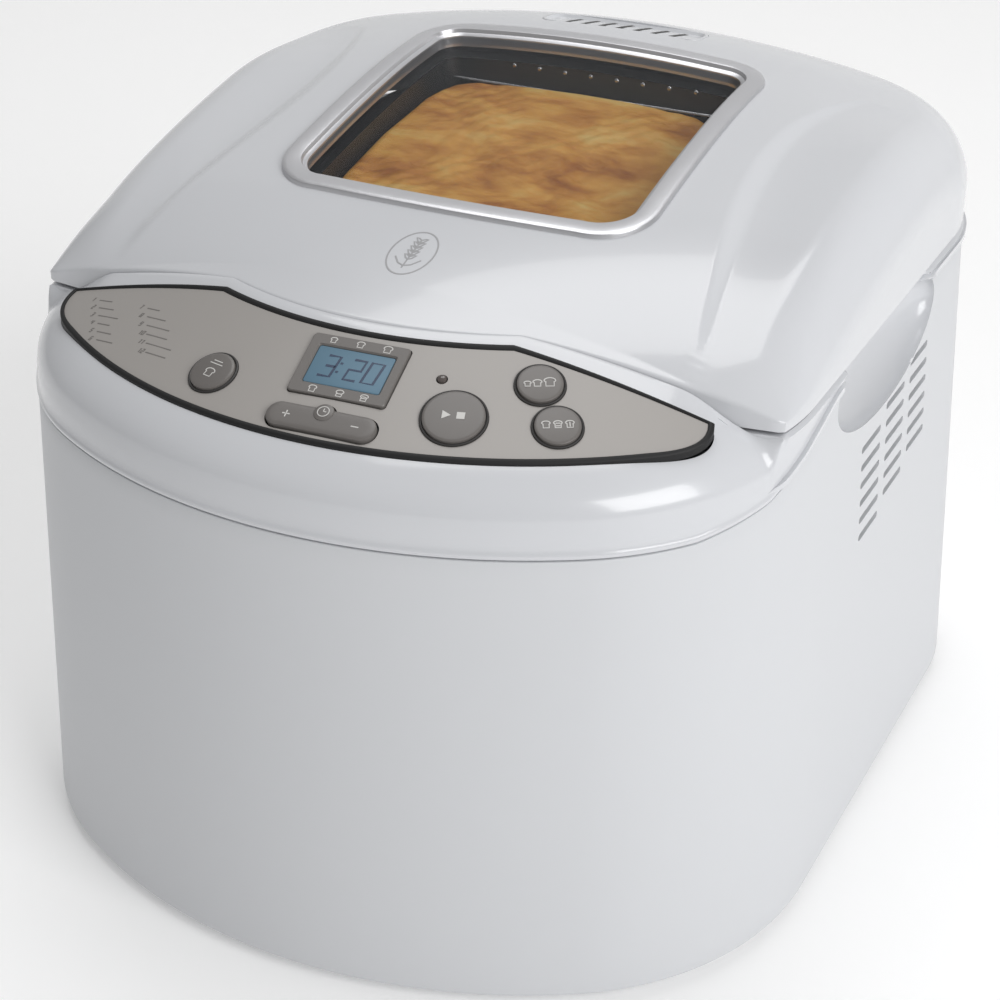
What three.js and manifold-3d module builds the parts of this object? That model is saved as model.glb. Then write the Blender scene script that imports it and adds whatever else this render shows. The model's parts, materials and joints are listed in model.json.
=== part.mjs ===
// Automatic bread machine: a rounded white housing with a domed, windowed lid over an oven chamber.
// Units are millimetres, +Z is up, the front with the control panel faces -Y.
// The origin is on the ground, at the centre of the footprint.
import * as THREE from 'three';
import { mergeVertices } from 'three/addons/utils/BufferGeometryUtils.js';
import Module from 'manifold-3d';

const wasm = await Module();
wasm.setup();

// ---------------------------------------------------------------- driving dimensions
const DEPTH = 352;              // front to back at the bottom edge
const FRONT_R = 199.2;          // plan radius of the bowed front
const CORNER_R = 103.3;         // plan radius of the front corners
const REAR_R = 80.4;            // plan radius of the rear corners
const SIDE_D = 153.8;           // distance from the front arc's axis to the line of each side
const SIDE_TURN = 1.79;         // degrees that each side opens towards the back
const FLARE = 0.049;            // how far the walls lean in for each millimetre of height
const ARC_Y = FRONT_R - DEPTH / 2;  // the front arc's axis is at x = 0, y = ARC_Y
const FOOT_H = 4.5;             // clearance that the feet give under the base
const WALL = 2.5;               // moulded wall thickness
const GAP = 0.3;                // working gap between pieces that touch
const SEAM_FRONT_Z = 173.6;     // joint between lower housing and collar at the front
const SEAM_SIDE_Z = 193;        // the same joint along the sides and back
const DECK_Z = 198;             // flat deck of the collar, under the lid
const PANEL_Z = 190.2;          // height of the panel's cone where it would meet the front radius
const PANEL_SLOPE = Math.tan(THREE.MathUtils.degToRad(24.57));
const LID_Z = 199.6;            // lower rim of the lid
const CROWN_Z = 254.8;          // top of the lid
const CROWN_Y = 105;            // where the lid is highest, front to back
const OVEN = { x: 96, y0: -70, y1: 116, z0: 60, wall: 1.2 };
const AXIS_Y = (OVEN.y0 + OVEN.y1) / 2;     // kneading axis, through the middle of the oven
const PAN = { x: 74, y: 62, z0: 80, z1: 184, wall: 1.5, taper: 3 };
const HINGE = { y: 160, z: 204.5, pinR: 2, screwX: 68, screwY: 149 };
const MOTOR = { x: 62, y: -118, r: 30, z0: 47.9, z1: 112 };
const PULLEY = { z0: 24, z1: 36, big: 42, small: 10 };
const SHAFT_R = 4;

// ---------------------------------------------------------------- materials
const finish = (color, roughness, metalness = 0) =>
  new THREE.MeshStandardMaterial({ color, roughness, metalness });
const WHITE_GLOSS = finish(0xe6e8ec, 0.22);
const WHITE_SATIN = finish(0xdfe1e5, 0.4);
const TAUPE = finish(0xada7a3, 0.5);
const KEY_GREY = finish(0x7e7975, 0.45);
const BLACK_RUBBER = finish(0x151515, 0.7);
const SILVER = finish(0xc2c3c8, 0.35, 0.8);
const STEEL = finish(0x9a9ca0, 0.35, 1);
const DARK_STEEL = finish(0x4a4c50, 0.45, 0.8);
const NON_STICK = finish(0x2e3034, 0.5, 0.3);
const BRONZE = finish(0x9c7640, 0.4, 1);
const GLASS = finish(0xaab4bb, 0.05);
const BOARD_GREEN = finish(0x1f5a34, 0.6);
const LCD_BLUE = finish(0x8fa6ba, 0.15);
const LED_RED = finish(0x6b2420, 0.3);

// ---------------------------------------------------------------- solids
// A closed geometry becomes a solid that can be joined and cut.
function solid(geometry) {
  const plain = geometry.clone();
  plain.deleteAttribute('normal');
  plain.deleteAttribute('uv');
  const merged = mergeVertices(plain, 1e-4);
  const mesh = new wasm.Mesh({
    numProp: 3,
    vertProperties: new Float32Array(merged.attributes.position.array),
    triVerts: new Uint32Array(merged.index.array),
  });
  return new wasm.Manifold(mesh);
}

// One named mesh of the assembly.
function piece(name, shape, material) {
  const data = shape.getMesh();
  const geometry = new THREE.BufferGeometry();
  geometry.setAttribute('position', new THREE.BufferAttribute(new Float32Array(data.vertProperties), 3));
  geometry.setIndex(new THREE.BufferAttribute(new Uint32Array(data.triVerts), 1));
  geometry.computeVertexNormals();
  const mesh = new THREE.Mesh(geometry, material);
  mesh.name = name;
  return mesh;
}

const join = (first, ...rest) => rest.reduce((sum, next) => sum.add(next), first);
const cut = (first, ...rest) => rest.reduce((left, next) => left.subtract(next), first);

// A box between two corners.
function block(x0, x1, y0, y1, z0, z1) {
  const geometry = new THREE.BoxGeometry(x1 - x0, y1 - y0, z1 - z0);
  geometry.translate((x0 + x1) / 2, (y0 + y1) / 2, (z0 + z1) / 2);
  return solid(geometry);
}

// A turned piece about a vertical axis at (x, y): a profile of [radius, z] pairs, closed on itself.
function turned(profile, x = 0, y = AXIS_Y, segments = 24) {
  const points = profile.map(([r, z]) => new THREE.Vector2(r, z));
  if (profile[0][0] > 0) points.push(points[0].clone());
  const geometry = new THREE.LatheGeometry(points, segments);
  geometry.rotateX(Math.PI / 2);
  geometry.translate(x, y, 0);
  return solid(geometry);
}

// A round bar about a vertical axis.
const rod = (r, z0, z1, x = 0, y = AXIS_Y, segments = 16) =>
  turned([[0, z0], [r, z0], [r, z1], [0, z1]], x, y, segments);

// A round bar along X or Y.
function crossRod(axis, r, from, to, a, z, segments = 14) {
  const geometry = new THREE.CylinderGeometry(r, r, to - from, segments);
  const middle = (from + to) / 2;
  if (axis === 'x') geometry.rotateZ(Math.PI / 2).translate(middle, a, z);
  else geometry.translate(a, middle, z);
  return solid(geometry);
}

// An upright prism over a plan outline of [x, y] pairs.
function prism(outline, z0, z1) {
  const shape = new THREE.Shape(outline.map(([x, y]) => new THREE.Vector2(x, y)));
  const geometry = new THREE.ExtrudeGeometry(shape, { depth: z1 - z0, bevelEnabled: false });
  geometry.translate(0, 0, z0);
  return solid(geometry);
}

// A prism along X over an outline of [y, z] pairs.
function sidePrism(outline, x0, x1) {
  const shape = new THREE.Shape(outline.map(([y, z]) => new THREE.Vector2(y, z)));
  const geometry = new THREE.ExtrudeGeometry(shape, { depth: x1 - x0, bevelEnabled: false });
  geometry.rotateY(Math.PI / 2).rotateX(Math.PI / 2).translate(x0, 0, 0);
  return solid(geometry);
}

// A bar with a round section along a curve.
function wire(curve, r, steps, sides = 10) {
  const section = new THREE.Shape();
  section.absarc(0, 0, r, 0, 2 * Math.PI);
  const options = { steps, extrudePath: curve, curveSegments: sides / 2, bevelEnabled: false };
  return solid(new THREE.ExtrudeGeometry(section, options));
}

// Corner points of a rounded rectangle, as [x, y] pairs.
function roundedRectangle(x0, x1, y0, y1, r, steps = 5) {
  const corners = [[x1 - r, y0 + r, -90], [x1 - r, y1 - r, 0], [x0 + r, y1 - r, 90], [x0 + r, y0 + r, 180]];
  return corners.flatMap(([cx, cy, start]) => Array.from({ length: steps + 1 }, (_, i) => {
    const a = THREE.MathUtils.degToRad(start + 90 * i / steps);
    return [cx + r * Math.cos(a), cy + r * Math.sin(a)];
  }));
}

// A stack of rings of [x, y, z] points, with the same count in each, closed by flat caps.
function loft(rings) {
  const n = rings[0].length;
  const positions = rings.flat(2);
  const index = [];
  for (let k = 0; k + 1 < rings.length; k += 1) {
    for (let i = 0; i < n; i += 1) {
      const a = k * n + i;
      const b = k * n + (i + 1) % n;
      index.push(a, b, b + n, a, b + n, a + n);
    }
  }
  const outline = rings[0].map(([x, y]) => new THREE.Vector2(x, y));
  const last = (rings.length - 1) * n;
  for (const [a, b, c] of THREE.ShapeUtils.triangulateShape(outline, [])) index.push(a, c, b);
  const top = rings.at(-1).map(([x, y]) => new THREE.Vector2(x, y));
  for (const [a, b, c] of THREE.ShapeUtils.triangulateShape(top, [])) index.push(last + a, last + b, last + c);
  const geometry = new THREE.BufferGeometry();
  geometry.setAttribute('position', new THREE.Float32BufferAttribute(positions, 3));
  geometry.setIndex(index);
  return solid(geometry);
}

// ---------------------------------------------------------------- plan of the body
// The plan is a bowed front, two front corners, two nearly parallel sides and two rear corners.
const TURN = THREE.MathUtils.degToRad(SIDE_TURN);
const cornerAlong = SIDE_D - CORNER_R;
const cornerReach = Math.sqrt((FRONT_R - CORNER_R) ** 2 - cornerAlong ** 2);
const CORNER = {
  x: cornerAlong * Math.cos(TURN) - cornerReach * Math.sin(TURN),
  y: ARC_Y - cornerAlong * Math.sin(TURN) - cornerReach * Math.cos(TURN),
};
const FRONT_END = Math.atan2(CORNER.x, ARC_Y - CORNER.y);
const SIDE_FACING = Math.PI / 2 - TURN;
const REAR = { y: DEPTH / 2 - REAR_R };
REAR.x = (SIDE_D - REAR_R + (REAR.y - ARC_Y) * Math.sin(TURN)) / Math.cos(TURN);
const wallInset = (z) => FLARE * (z - FOOT_H);

// One quarter turn of facing angles on each arc gives the right half; the left half mirrors it.
function planRing(inset) {
  const arcs = [
    [0, ARC_Y, FRONT_R, 0, FRONT_END, 6],
    [CORNER.x, CORNER.y, CORNER_R, FRONT_END, SIDE_FACING, 5],
    [REAR.x, REAR.y, REAR_R, SIDE_FACING, Math.PI, 6],
  ];
  const right = arcs.flatMap(([cx, cy, r, from, to, steps], arc) => {
    const first = arc === 1 ? 1 : 0;    // the corner starts where the front ends
    return Array.from({ length: steps + 1 - first }, (_, i) => {
      const facing = from + (to - from) * (i + first) / steps;
      return [cx + (r - inset) * Math.sin(facing), cy - (r - inset) * Math.cos(facing)];
    });
  });
  const left = right.slice(1).reverse().map(([x, y]) => [-x, y]);
  return [...right, ...left];
}

// A solid over the plan, from a list of [inset, z] levels.
const planSolid = (levels) => loft(levels.map(([inset, z]) => planRing(inset).map(([x, y]) => [x, y, z])));

// The body's outer form between two heights, drawn in by an extra inset.
const bodyForm = (z0, z1, extra = 0) => planSolid([[wallInset(z0) + extra, z0], [wallInset(z1) + extra, z1]]);

// ---------------------------------------------------------------- the lid's outline and height
// The front edge of the lid is a shallow arc with straight wings that run out to the corners.
const SEAM_R = 130.6;           // distance of the lid's front edge from the front arc's axis
const WING_TURN = 24;           // degrees from the centre where the straight wings start
const WING_END = { x: 146, y: -84 };
function frontSeam(offset, count = 6) {
  const turn = THREE.MathUtils.degToRad(WING_TURN);
  const arc = Array.from({ length: count + 1 }, (_, i) => {
    const facing = turn * (2 * i / count - 1);
    return [(SEAM_R + offset) * Math.sin(facing), ARC_Y - (SEAM_R + offset) * Math.cos(facing)];
  });
  return [[-WING_END.x - 40, WING_END.y + 8 - offset], [-WING_END.x, WING_END.y - offset], ...arc,
    [WING_END.x, WING_END.y - offset], [WING_END.x + 40, WING_END.y + 8 - offset]];
}

// Everything in front of the lid's front edge, as an upright prism.
const frontRegion = (offset, z0, z1) => prism([[-260, -260], [260, -260], ...frontSeam(offset).reverse()], z0, z1);

// Height of the lid's top: highest behind the middle, falling to the front, the back and both sides.
const LID_FALL = {
  front: 0.00217, frontPower: 1.8,              // towards the front edge
  rear: 0.0045,                                 // towards the hinge
  side: 0.0005, rearSide: 0.00045,              // towards each side, and more of it behind the crown
  nose: 0.0008, noseY: -88, noseReach: 20,      // extra fall at the front corners
  shoulder: 22,
};
function lidTop(x, y, inset) {
  const fall = y < CROWN_Y ? LID_FALL.front * (CROWN_Y - y) ** LID_FALL.frontPower : LID_FALL.rear * (y - CROWN_Y) ** 2;
  const nose = LID_FALL.nose * Math.exp(-Math.max(0, y - LID_FALL.noseY) / LID_FALL.noseReach);
  const behind = LID_FALL.rearSide * THREE.MathUtils.smoothstep(y, 40, 120);
  const crown = CROWN_Z - fall - (LID_FALL.side + nose + behind) * x ** 2;
  const reach = Math.max(0, 1 - inset / LID_FALL.shoulder);
  const drop = THREE.MathUtils.clamp(crown - LID_Z - 3, 1, LID_FALL.shoulder);
  return crown - drop * (1 - Math.sqrt(1 - reach ** 2));
}

const LID_MID_Y = 10;

// The lid's form over the plan, thinner by the given amount.
function lidForm(thickness) {
  const edge = wallInset(LID_Z) + thickness;
  const ring = (inset, scale = 1) => planRing(edge + inset).map(([x, y]) => [x * scale, LID_MID_Y + (y - LID_MID_Y) * scale])
    .map(([x, y]) => [x, y, lidTop(x, y, inset) - thickness]);
  const shoulder = [0, 2, 8, LID_FALL.shoulder].map((inset) => ring(inset));
  const middle = [0.62, 0.28].map((scale) => ring(LID_FALL.shoulder, scale));
  const rim = planRing(edge).map(([x, y]) => [x, y, LID_Z - (thickness ? 20 : 0)]);
  return loft([rim, ...shoulder, ...middle]);
}

// Window opening: a rounded rectangle with its front edge bowed forwards.
const WINDOW = { halfWidth: 72, y0: -46, y1: 95, bow: 3, front: 22, rear: 17 };
function windowOutline(grow) {
  const { halfWidth, y0, y1, bow, front, rear } = WINDOW;
  const x = halfWidth + grow;
  const corner = (cx, cy, r, start, steps) => Array.from({ length: steps + 1 }, (_, i) => {
    const a = THREE.MathUtils.degToRad(start + 90 * i / steps);
    return [cx + (r + grow) * Math.cos(a), cy + (r + grow) * Math.sin(a)];
  });
  const low = y0 + front;
  return [...corner(-halfWidth + front, low, front, 180, 4), [-x * 0.3, y0 - grow - bow], [x * 0.3, y0 - grow - bow],
    ...corner(halfWidth - front, low, front, -90, 4), ...corner(halfWidth - rear, y1 - rear, rear, 0, 3),
    ...corner(-halfWidth + rear, y1 - rear, rear, 90, 3)];
}

// ---------------------------------------------------------------- casing
// Where the lower housing ends and the collar begins, seen from the side.
const seamProfile = (shift) => [
  [-260, SEAM_FRONT_Z + shift], [-118, SEAM_FRONT_Z + shift], [-92, SEAM_FRONT_Z + 4 + shift],
  [-66, SEAM_FRONT_Z + 13 + shift], [-44, SEAM_SIDE_Z - 1.5 + shift], [-30, SEAM_SIDE_Z + shift],
  [260, SEAM_SIDE_Z + shift]];
const aboveSeam = (shift) => sidePrism([[-260, 300], ...seamProfile(shift), [260, 300]], -260, 260);
const belowSeam = (shift) => sidePrism([...seamProfile(shift), [260, -50], [-260, -50]], -260, 260);

// Grip hollow under the lid's edge on each side.
const GRIP = { y: 14, z: 186, halfLength: 54, halfHeight: 20, depth: 15 };
function gripBall(grow) {
  const ball = new THREE.SphereGeometry(1, 16, 10);
  ball.scale(GRIP.depth + grow, GRIP.halfLength + grow, GRIP.halfHeight + grow);
  const x = REAR.x + REAR_R - wallInset(GRIP.z);
  const right = ball.clone().translate(x, GRIP.y, GRIP.z);
  return join(solid(right), solid(ball.translate(-x, GRIP.y, GRIP.z)));
}

// Three staggered columns of slots in each side of the housing.
const LOUVRE = { columns: 3, rows: 6, pitchY: 27, pitchZ: 7, length: 21, height: 2.6, y: -12, z: 122, step: 10 };
function louvres() {
  const slots = [];
  for (let column = 0; column < LOUVRE.columns; column += 1) {
    for (let row = 0; row < LOUVRE.rows; row += 1) {
      const y = LOUVRE.y + column * LOUVRE.pitchY;
      const z = LOUVRE.z + row * LOUVRE.pitchZ + column * LOUVRE.step * 0.5;
      slots.push(block(-170, 170, y, y + LOUVRE.length, z, z + LOUVRE.height));
    }
  }
  return join(...slots);
}

function lowerHousing() {
  const outer = bodyForm(FOOT_H, SEAM_SIDE_Z + 2);
  const inner = bodyForm(FOOT_H - 20, SEAM_SIDE_Z + 20, WALL);
  const gland = crossRod('y', 9.3, 140, 200, -60, GLAND_Z);
  return cut(outer, inner, aboveSeam(-GAP), gripBall(WALL + 0.6), louvres(), gland);
}

// The cone that the panel lies on, as everything below it.
function underPanel(shift) {
  const z = (r) => PANEL_Z + shift + (FRONT_R - r) * PANEL_SLOPE;
  return turned([[0, 0], [FRONT_R + 20, 0], [FRONT_R + 20, z(FRONT_R + 20)], [60, z(60)], [0, z(60)]], 0, ARC_Y, 72);
}

function upperCollar() {
  const soft = [[0, SEAM_FRONT_Z - 1], [0, 184], [2, 191], [7, 196.5], [16, 201.5], [60, 226]];
  const levels = soft.map(([inset, z]) => [wallInset(Math.min(z, 189)) + inset, z]);
  const console = planSolid(levels).intersect(frontRegion(GAP, 0, 300)).intersect(underPanel(0));
  const deck = cut(bodyForm(SEAM_FRONT_Z - 1, DECK_Z), frontRegion(6, 0, 300));
  const inside = levels.map(([inset, z]) => [inset + WALL * 0.9, z > 184 ? z - WALL * 0.9 : z]);
  inside.unshift([inside[0][0], 100]);
  const consoleRoom = planSolid(inside).intersect(frontRegion(WALL + GAP, 0, 300)).intersect(underPanel(-WALL));
  const deckRoom = cut(bodyForm(100, DECK_Z - WALL, WALL), frontRegion(0, 0, 300));
  const bowls = gripBall(WALL).intersect(bodyForm(100, DECK_Z - 1, 0.4));
  const shell = join(cut(join(console, deck), consoleRoom, deckRoom), bowls);
  const mouth = block(-OVEN.x + 1, OVEN.x - 1, OVEN.y0 + 1, OVEN.y1 - 1, 150, 250);
  const lowered = cut(shell, belowSeam(GAP).subtract(gripBall(WALL + 0.3)));
  return cut(lowered, gripBall(0), mouth, panelCut(), hingeHoles());
}

function baseTray() {
  const tray = bodyForm(FOOT_H + GAP, 16, WALL + GAP);
  const hollow = bodyForm(7.3, 30, WALL + GAP + 2);
  const posts = POSTS.map(([x, y]) => rod(6, 6, CHASSIS.z0 - GAP, x, y, 12));
  const holes = FEET.map(([x, y]) => rod(5, 0, 30, x, y, 12));
  const slots = Array.from({ length: 6 }, (_, i) => block(-40, 40, -60 + i * 12, -55 + i * 12, 0, 12));
  const screws = POSTS.map(([x, y]) => rod(1.9, 30, 60, x, y, 12));
  return cut(join(cut(tray, hollow), ...posts), ...holes, ...slots, ...screws);
}

const FEET = [[-100, -112], [100, -112], [-112, 122], [112, 122]];
const foot = ([x, y]) => turned([[0, 0], [10, 0], [11, 1.2], [11, FOOT_H], [4.6, FOOT_H], [4.6, 9], [0, 9]], x, y, 16);

// ---------------------------------------------------------------- control panel
// Plan outline of the panel: a round lower edge, a raised middle and wings that taper to the ends.
const FASCIA = { low: 175.8, high: 136.9, lowTurn: 37, highTurn: 23, endX: 117.5, endY: -97.5 };
function fasciaOutline(grow) {
  const rad = THREE.MathUtils.degToRad;
  const arc = (r, turn, count) => Array.from({ length: count + 1 }, (_, i) => {
    const facing = rad(turn * (2 * i / count - 1));
    return new THREE.Vector2(r * Math.sin(facing), ARC_Y - r * Math.cos(facing));
  });
  const low = arc(FASCIA.low + grow, FASCIA.lowTurn, 10);
  const high = arc(FASCIA.high - grow, FASCIA.highTurn, 6).reverse();
  const right = new THREE.QuadraticBezierCurve(low.at(-1), new THREE.Vector2(FASCIA.endX + 4 + grow, FASCIA.endY - 9),
    new THREE.Vector2(FASCIA.endX + grow, FASCIA.endY + grow * 0.5)).getPoints(4);
  const left = right.map((p) => new THREE.Vector2(-p.x, p.y)).reverse();
  return [...low, ...right.slice(1), ...high, ...left.slice(0, -1)].map((p) => [p.x, p.y]);
}

// A layer that follows the cone, between two heights above it.
const panelLayer = (low, high) => underPanel(high).subtract(underPanel(low));
const FASCIA_T = 2;
const panelCut = () => prism(fasciaOutline(1.6 + GAP), 150, 260).intersect(panelLayer(-8, 20));

// A frame on the cone's surface: origin at the given facing angle and radius, local Z along the normal.
function panelFrame(turn, radius) {
  const facing = THREE.MathUtils.degToRad(turn);
  const slope = Math.atan(PANEL_SLOPE);
  const frame = new THREE.Group();
  frame.position.set(radius * Math.sin(facing), ARC_Y - radius * Math.cos(facing),
    PANEL_Z + (FRONT_R - radius) * PANEL_SLOPE);
  const out = new THREE.Vector3(Math.sin(facing), -Math.cos(facing), 0);
  const normal = out.clone().multiplyScalar(Math.sin(slope)).add(new THREE.Vector3(0, 0, Math.cos(slope)));
  const across = new THREE.Vector3(Math.cos(facing), Math.sin(facing), 0);
  frame.quaternion.setFromRotationMatrix(new THREE.Matrix4().makeBasis(across, normal.clone().cross(across), normal));
  frame.updateMatrixWorld();
  return frame;
}

// The same shape carried into the whole part's frame, for cutting.
function atFrame(shape, frame) {
  const m = frame.matrixWorld.elements;
  return shape.transform([...m]);
}

const KEYS = {
  menu_button: { turn: -13.4, radius: 163.6, r: 8.2 },
  start_button: { turn: 16.7, radius: 162.4, r: 10.5 },
  size_button: { turn: 26.3, radius: 149.7, r: 7.9 },
  crust_button: { turn: 28.0, radius: 164.8, r: 7.9 },
};
const LCD = { turn: 2.7, radius: 149.9, halfWidth: 17, halfHeight: 12.2 };
const ROCKER = { turn: 2.5, radius: 169.8, halfWidth: 18.8, halfHeight: 4.7 };
const LED = { turn: 14.4, radius: 148.7 };

// Round key: a cap in the panel's hole and a stem that reaches the switch below.
function keyShape(r) {
  return turned([[0, -9], [2.5, -9], [2.5, -3], [r - 0.5, -3], [r - 0.5, 1.1], [r - 1.2, 1.6], [0, 1.8]], 0, 0, 20);
}

// Rocker key for the timer: a long cap with a round bump at its middle.
function rockerShape() {
  const { halfWidth: w, halfHeight: h } = ROCKER;
  const cap = prism(roundedRectangle(-w, w, -h, h, h - 0.2), -2.6, 1.2);
  return join(cap, rod(3.4, -2.6, 1.2, 0, 3, 16), block(-2, 2, -2.5, 2.5, -7, -2));
}

function fasciaHoles() {
  const cuts = Object.values(KEYS).map((key) => atFrame(rod(key.r + GAP, -12, 12, 0, 0, 20), panelFrame(key.turn, key.radius)));
  const lcd = block(-LCD.halfWidth - GAP, LCD.halfWidth + GAP, -LCD.halfHeight - GAP, LCD.halfHeight + GAP, -12, 12);
  const { halfWidth: w, halfHeight: h } = ROCKER;
  const rocker = join(prism(roundedRectangle(-w - 0.6, w + 0.6, -h - 0.6, h + 0.6, h), -12, 12), rod(4, -12, 12, 0, 3, 16));
  return join(...cuts, atFrame(lcd, panelFrame(LCD.turn, LCD.radius)),
    atFrame(rocker, panelFrame(ROCKER.turn, ROCKER.radius)),
    atFrame(rod(1.9, -12, 12, 0, 0, 16), panelFrame(LED.turn, LED.radius)));
}

const controlFascia = () => cut(prism(fasciaOutline(0), 150, 260).intersect(panelLayer(-FASCIA_T, 0)), fasciaHoles());

function fasciaGasket() {
  const ring = cut(prism(fasciaOutline(1.6), 150, 260), prism(fasciaOutline(GAP), 140, 270));
  return ring.intersect(panelLayer(-FASCIA_T, 0.6));
}

function lcdBezel() {
  const { halfWidth: w, halfHeight: h } = LCD;
  return cut(block(-w, w, -h, h, -4, 0.8), block(-w + 3.5, w - 3.5, -h + 4.5, h - 4.5, -6, 3));
}

const lcdModule = () => {
  const { halfWidth: w, halfHeight: h } = LCD;
  return block(-w + 3.8, w - 3.8, -h + 4.8, h - 4.8, -3.4, 0.3);
};

const statusLed = () => turned([[0, -9], [1.5, -9], [1.5, 0.4], [0, 0.9]], 0, 0, 16);

// The board follows the panel's slope under the middle of the keys, on the fascia's inner side.
const BOARD = { turn: 7, radius: 158, halfWidth: 66, halfHeight: 17, depth: 17 };
function controlBoard() {
  const { halfWidth: w, halfHeight: h, depth } = BOARD;
  const relay = block(-w + 8, -w + 26, -h + 5, h - 5, -depth - 12, -depth - 1.5);
  return join(block(-w, w, -h, h, -depth - 1.6, -depth), relay);
}

// ---------------------------------------------------------------- chassis, oven and drive
const CHASSIS = { z0: 46, z1: 47.5 };
const POSTS = [[-118, -96], [118, -96], [-118, 112], [118, 112]];
function chassisPlate() {
  const plate = prism([[-104, -140], [104, -140], [126, -104], [126, 120], [-126, 120], [-126, -104]], CHASSIS.z0, CHASSIS.z1);
  const holes = POSTS.map(([x, y]) => rod(2.2, 40, 60, x, y, 10));
  return cut(plate, ...holes, rod(7.3, 40, 60), rod(12, 40, 60, MOTOR.x, MOTOR.y));
}

const chassisScrew = ([x, y]) => turned([[0, 36], [1.6, 36], [1.6, CHASSIS.z1 + GAP], [4, CHASSIS.z1 + GAP],
  [3.4, CHASSIS.z1 + 2.6], [0, CHASSIS.z1 + 2.9]], x, y, 16);

function ovenLiner() {
  const { x, y0, y1, z0, wall } = OVEN;
  const outer = prism(roundedRectangle(-x, x, y0, y1, 14, 3), z0, DECK_Z + GAP + wall);
  const inner = prism(roundedRectangle(-x + wall, x - wall, y0 + wall, y1 - wall, 13, 3), z0 + wall, 240);
  const shrunk = prism(roundedRectangle(-x + 2, x - 2, y0 + 2, y1 - 2, 13, 3), DECK_Z - 9, DECK_Z + 9);
  const collarBelow = prism(roundedRectangle(-x - 20, x + 20, y0 - 20, y1 + 20, 14, 3), DECK_Z - 9, DECK_Z + GAP);
  const neck = cut(outer, inner, collarBelow.subtract(shrunk));
  const tube = cut(shrunk, prism(roundedRectangle(-x + 3.2, x - 3.2, y0 + 3.2, y1 - 3.2, 12, 3), 100, 240))
    .intersect(block(-200, 200, -200, 200, DECK_Z - 9, DECK_Z + GAP + wall));
  const step = cut(prism(roundedRectangle(-x, x, y0, y1, 14, 3), DECK_Z - 10, DECK_Z - 8.6),
    prism(roundedRectangle(-x + 3.2, x - 3.2, y0 + 3.2, y1 - 3.2, 12, 3), 100, 240));
  const flange = cut(prism(roundedRectangle(-x - 4, x + 4, y0 - 4, y1 + 4, 16, 3), DECK_Z + GAP, DECK_Z + GAP + wall),
    prism(roundedRectangle(-x + 3.2, x - 3.2, y0 + 3.2, y1 - 3.2, 12, 3), 100, 240));
  const probe = crossRod('y', 3.4, y0 - 10, y0 + 10, -56, 150);
  const terminals = [-18, 18].map((tx) => crossRod('y', 4, y0 - 10, y0 + 10, tx, HEATER.z));
  return cut(join(neck, step, tube, flange), rod(8, 40, 80), probe, ...terminals);
}

const HEATER = { z: 76, r: 3.2, x: 86, y0: -60, y1: 106 };
function heaterElement() {
  const { z, r, x, y0, y1 } = HEATER;
  const path = new THREE.CurvePath();
  const at = (a, b) => new THREE.Vector3(a, b, z);
  const bend = 22;
  const corners = [[18, OVEN.y0 - 12], [18, y0], [x, y0], [x, y1], [-x, y1], [-x, y0], [-18, y0], [-18, OVEN.y0 - 12]];
  const soft = [0, 5, bend, bend, bend, bend, 5, 0];
  let last = at(...corners[0]);
  for (let i = 1; i < corners.length - 1; i += 1) {
    const here = at(...corners[i]);
    const towards = (p) => here.clone().add(at(...p).sub(here).setLength(soft[i]));
    const enter = towards(corners[i - 1]);
    const leave = towards(corners[i + 1]);
    path.add(new THREE.LineCurve3(last, enter));
    path.add(new THREE.QuadraticBezierCurve3(enter, here, leave));
    last = leave;
  }
  path.add(new THREE.LineCurve3(last, at(...corners.at(-1))));
  return wire(path, r, 56, 6);
}

const temperatureProbe = () => join(crossRod('y', 3, OVEN.y0 - 9, OVEN.y0 + 8, -56, 150),
  crossRod('y', 5.5, OVEN.y0 - 12, OVEN.y0 - GAP, -56, 150));

const SOCKET = { z0: OVEN.z0 + OVEN.wall + GAP, z1: PAN.z0 - GAP, r: 46 };
function panSocket() {
  const ring = turned([[34, SOCKET.z0], [SOCKET.r + 4, SOCKET.z0], [SOCKET.r + 4, SOCKET.z0 + 2], [SOCKET.r, SOCKET.z0 + 2],
    [SOCKET.r, SOCKET.z1 - 4], [40, SOCKET.z1 - 4], [40, SOCKET.z0 + 2], [34, SOCKET.z0 + 2]]);
  return ring;
}

function bearingHousing() {
  return turned([[6.3, CHASSIS.z1 + GAP], [24, CHASSIS.z1 + GAP], [24, CHASSIS.z1 + 3], [12, CHASSIS.z1 + 4.5],
    [12, OVEN.z0 - GAP], [6.3, OVEN.z0 - GAP]]);
}

const driveBush = () => turned([[SHAFT_R + 0.06, 43], [6, 43], [6, 62], [SHAFT_R + 0.06, 62]], 0, AXIS_Y, 24);
const driveShaft = () => rod(SHAFT_R, PULLEY.z0 - 3, 70, 0, AXIS_Y, 24);

// A grooved wheel with a hub and round lightening holes.
function pulley(r, x, y, bore, holes) {
  const { z0, z1 } = PULLEY;
  const wheel = turned([[bore, z0], [r, z0], [r, z0 + 1.5], [r - 2.5, z0 + 2.5], [r - 2.5, z1 - 2.5], [r, z1 - 1.5],
    [r, z1], [bore, z1]], x, y, 28);
  const cuts = Array.from({ length: holes }, (_, i) => {
    const a = 2 * Math.PI * i / holes;
    return rod(6.5, z0 - 5, z1 + 5, x + r * 0.58 * Math.cos(a), y + r * 0.58 * Math.sin(a), 10);
  });
  return cut(wheel, ...cuts);
}

// Driving cross on top of the shaft, and the fork under the pan that sits over it.
function driveDog() {
  const hub = rod(8, 64, 72);
  return cut(join(hub, block(-17, 17, AXIS_Y - 3, AXIS_Y + 3, 64, 72)), rod(SHAFT_R + GAP, 50, 70 + GAP));
}

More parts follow.
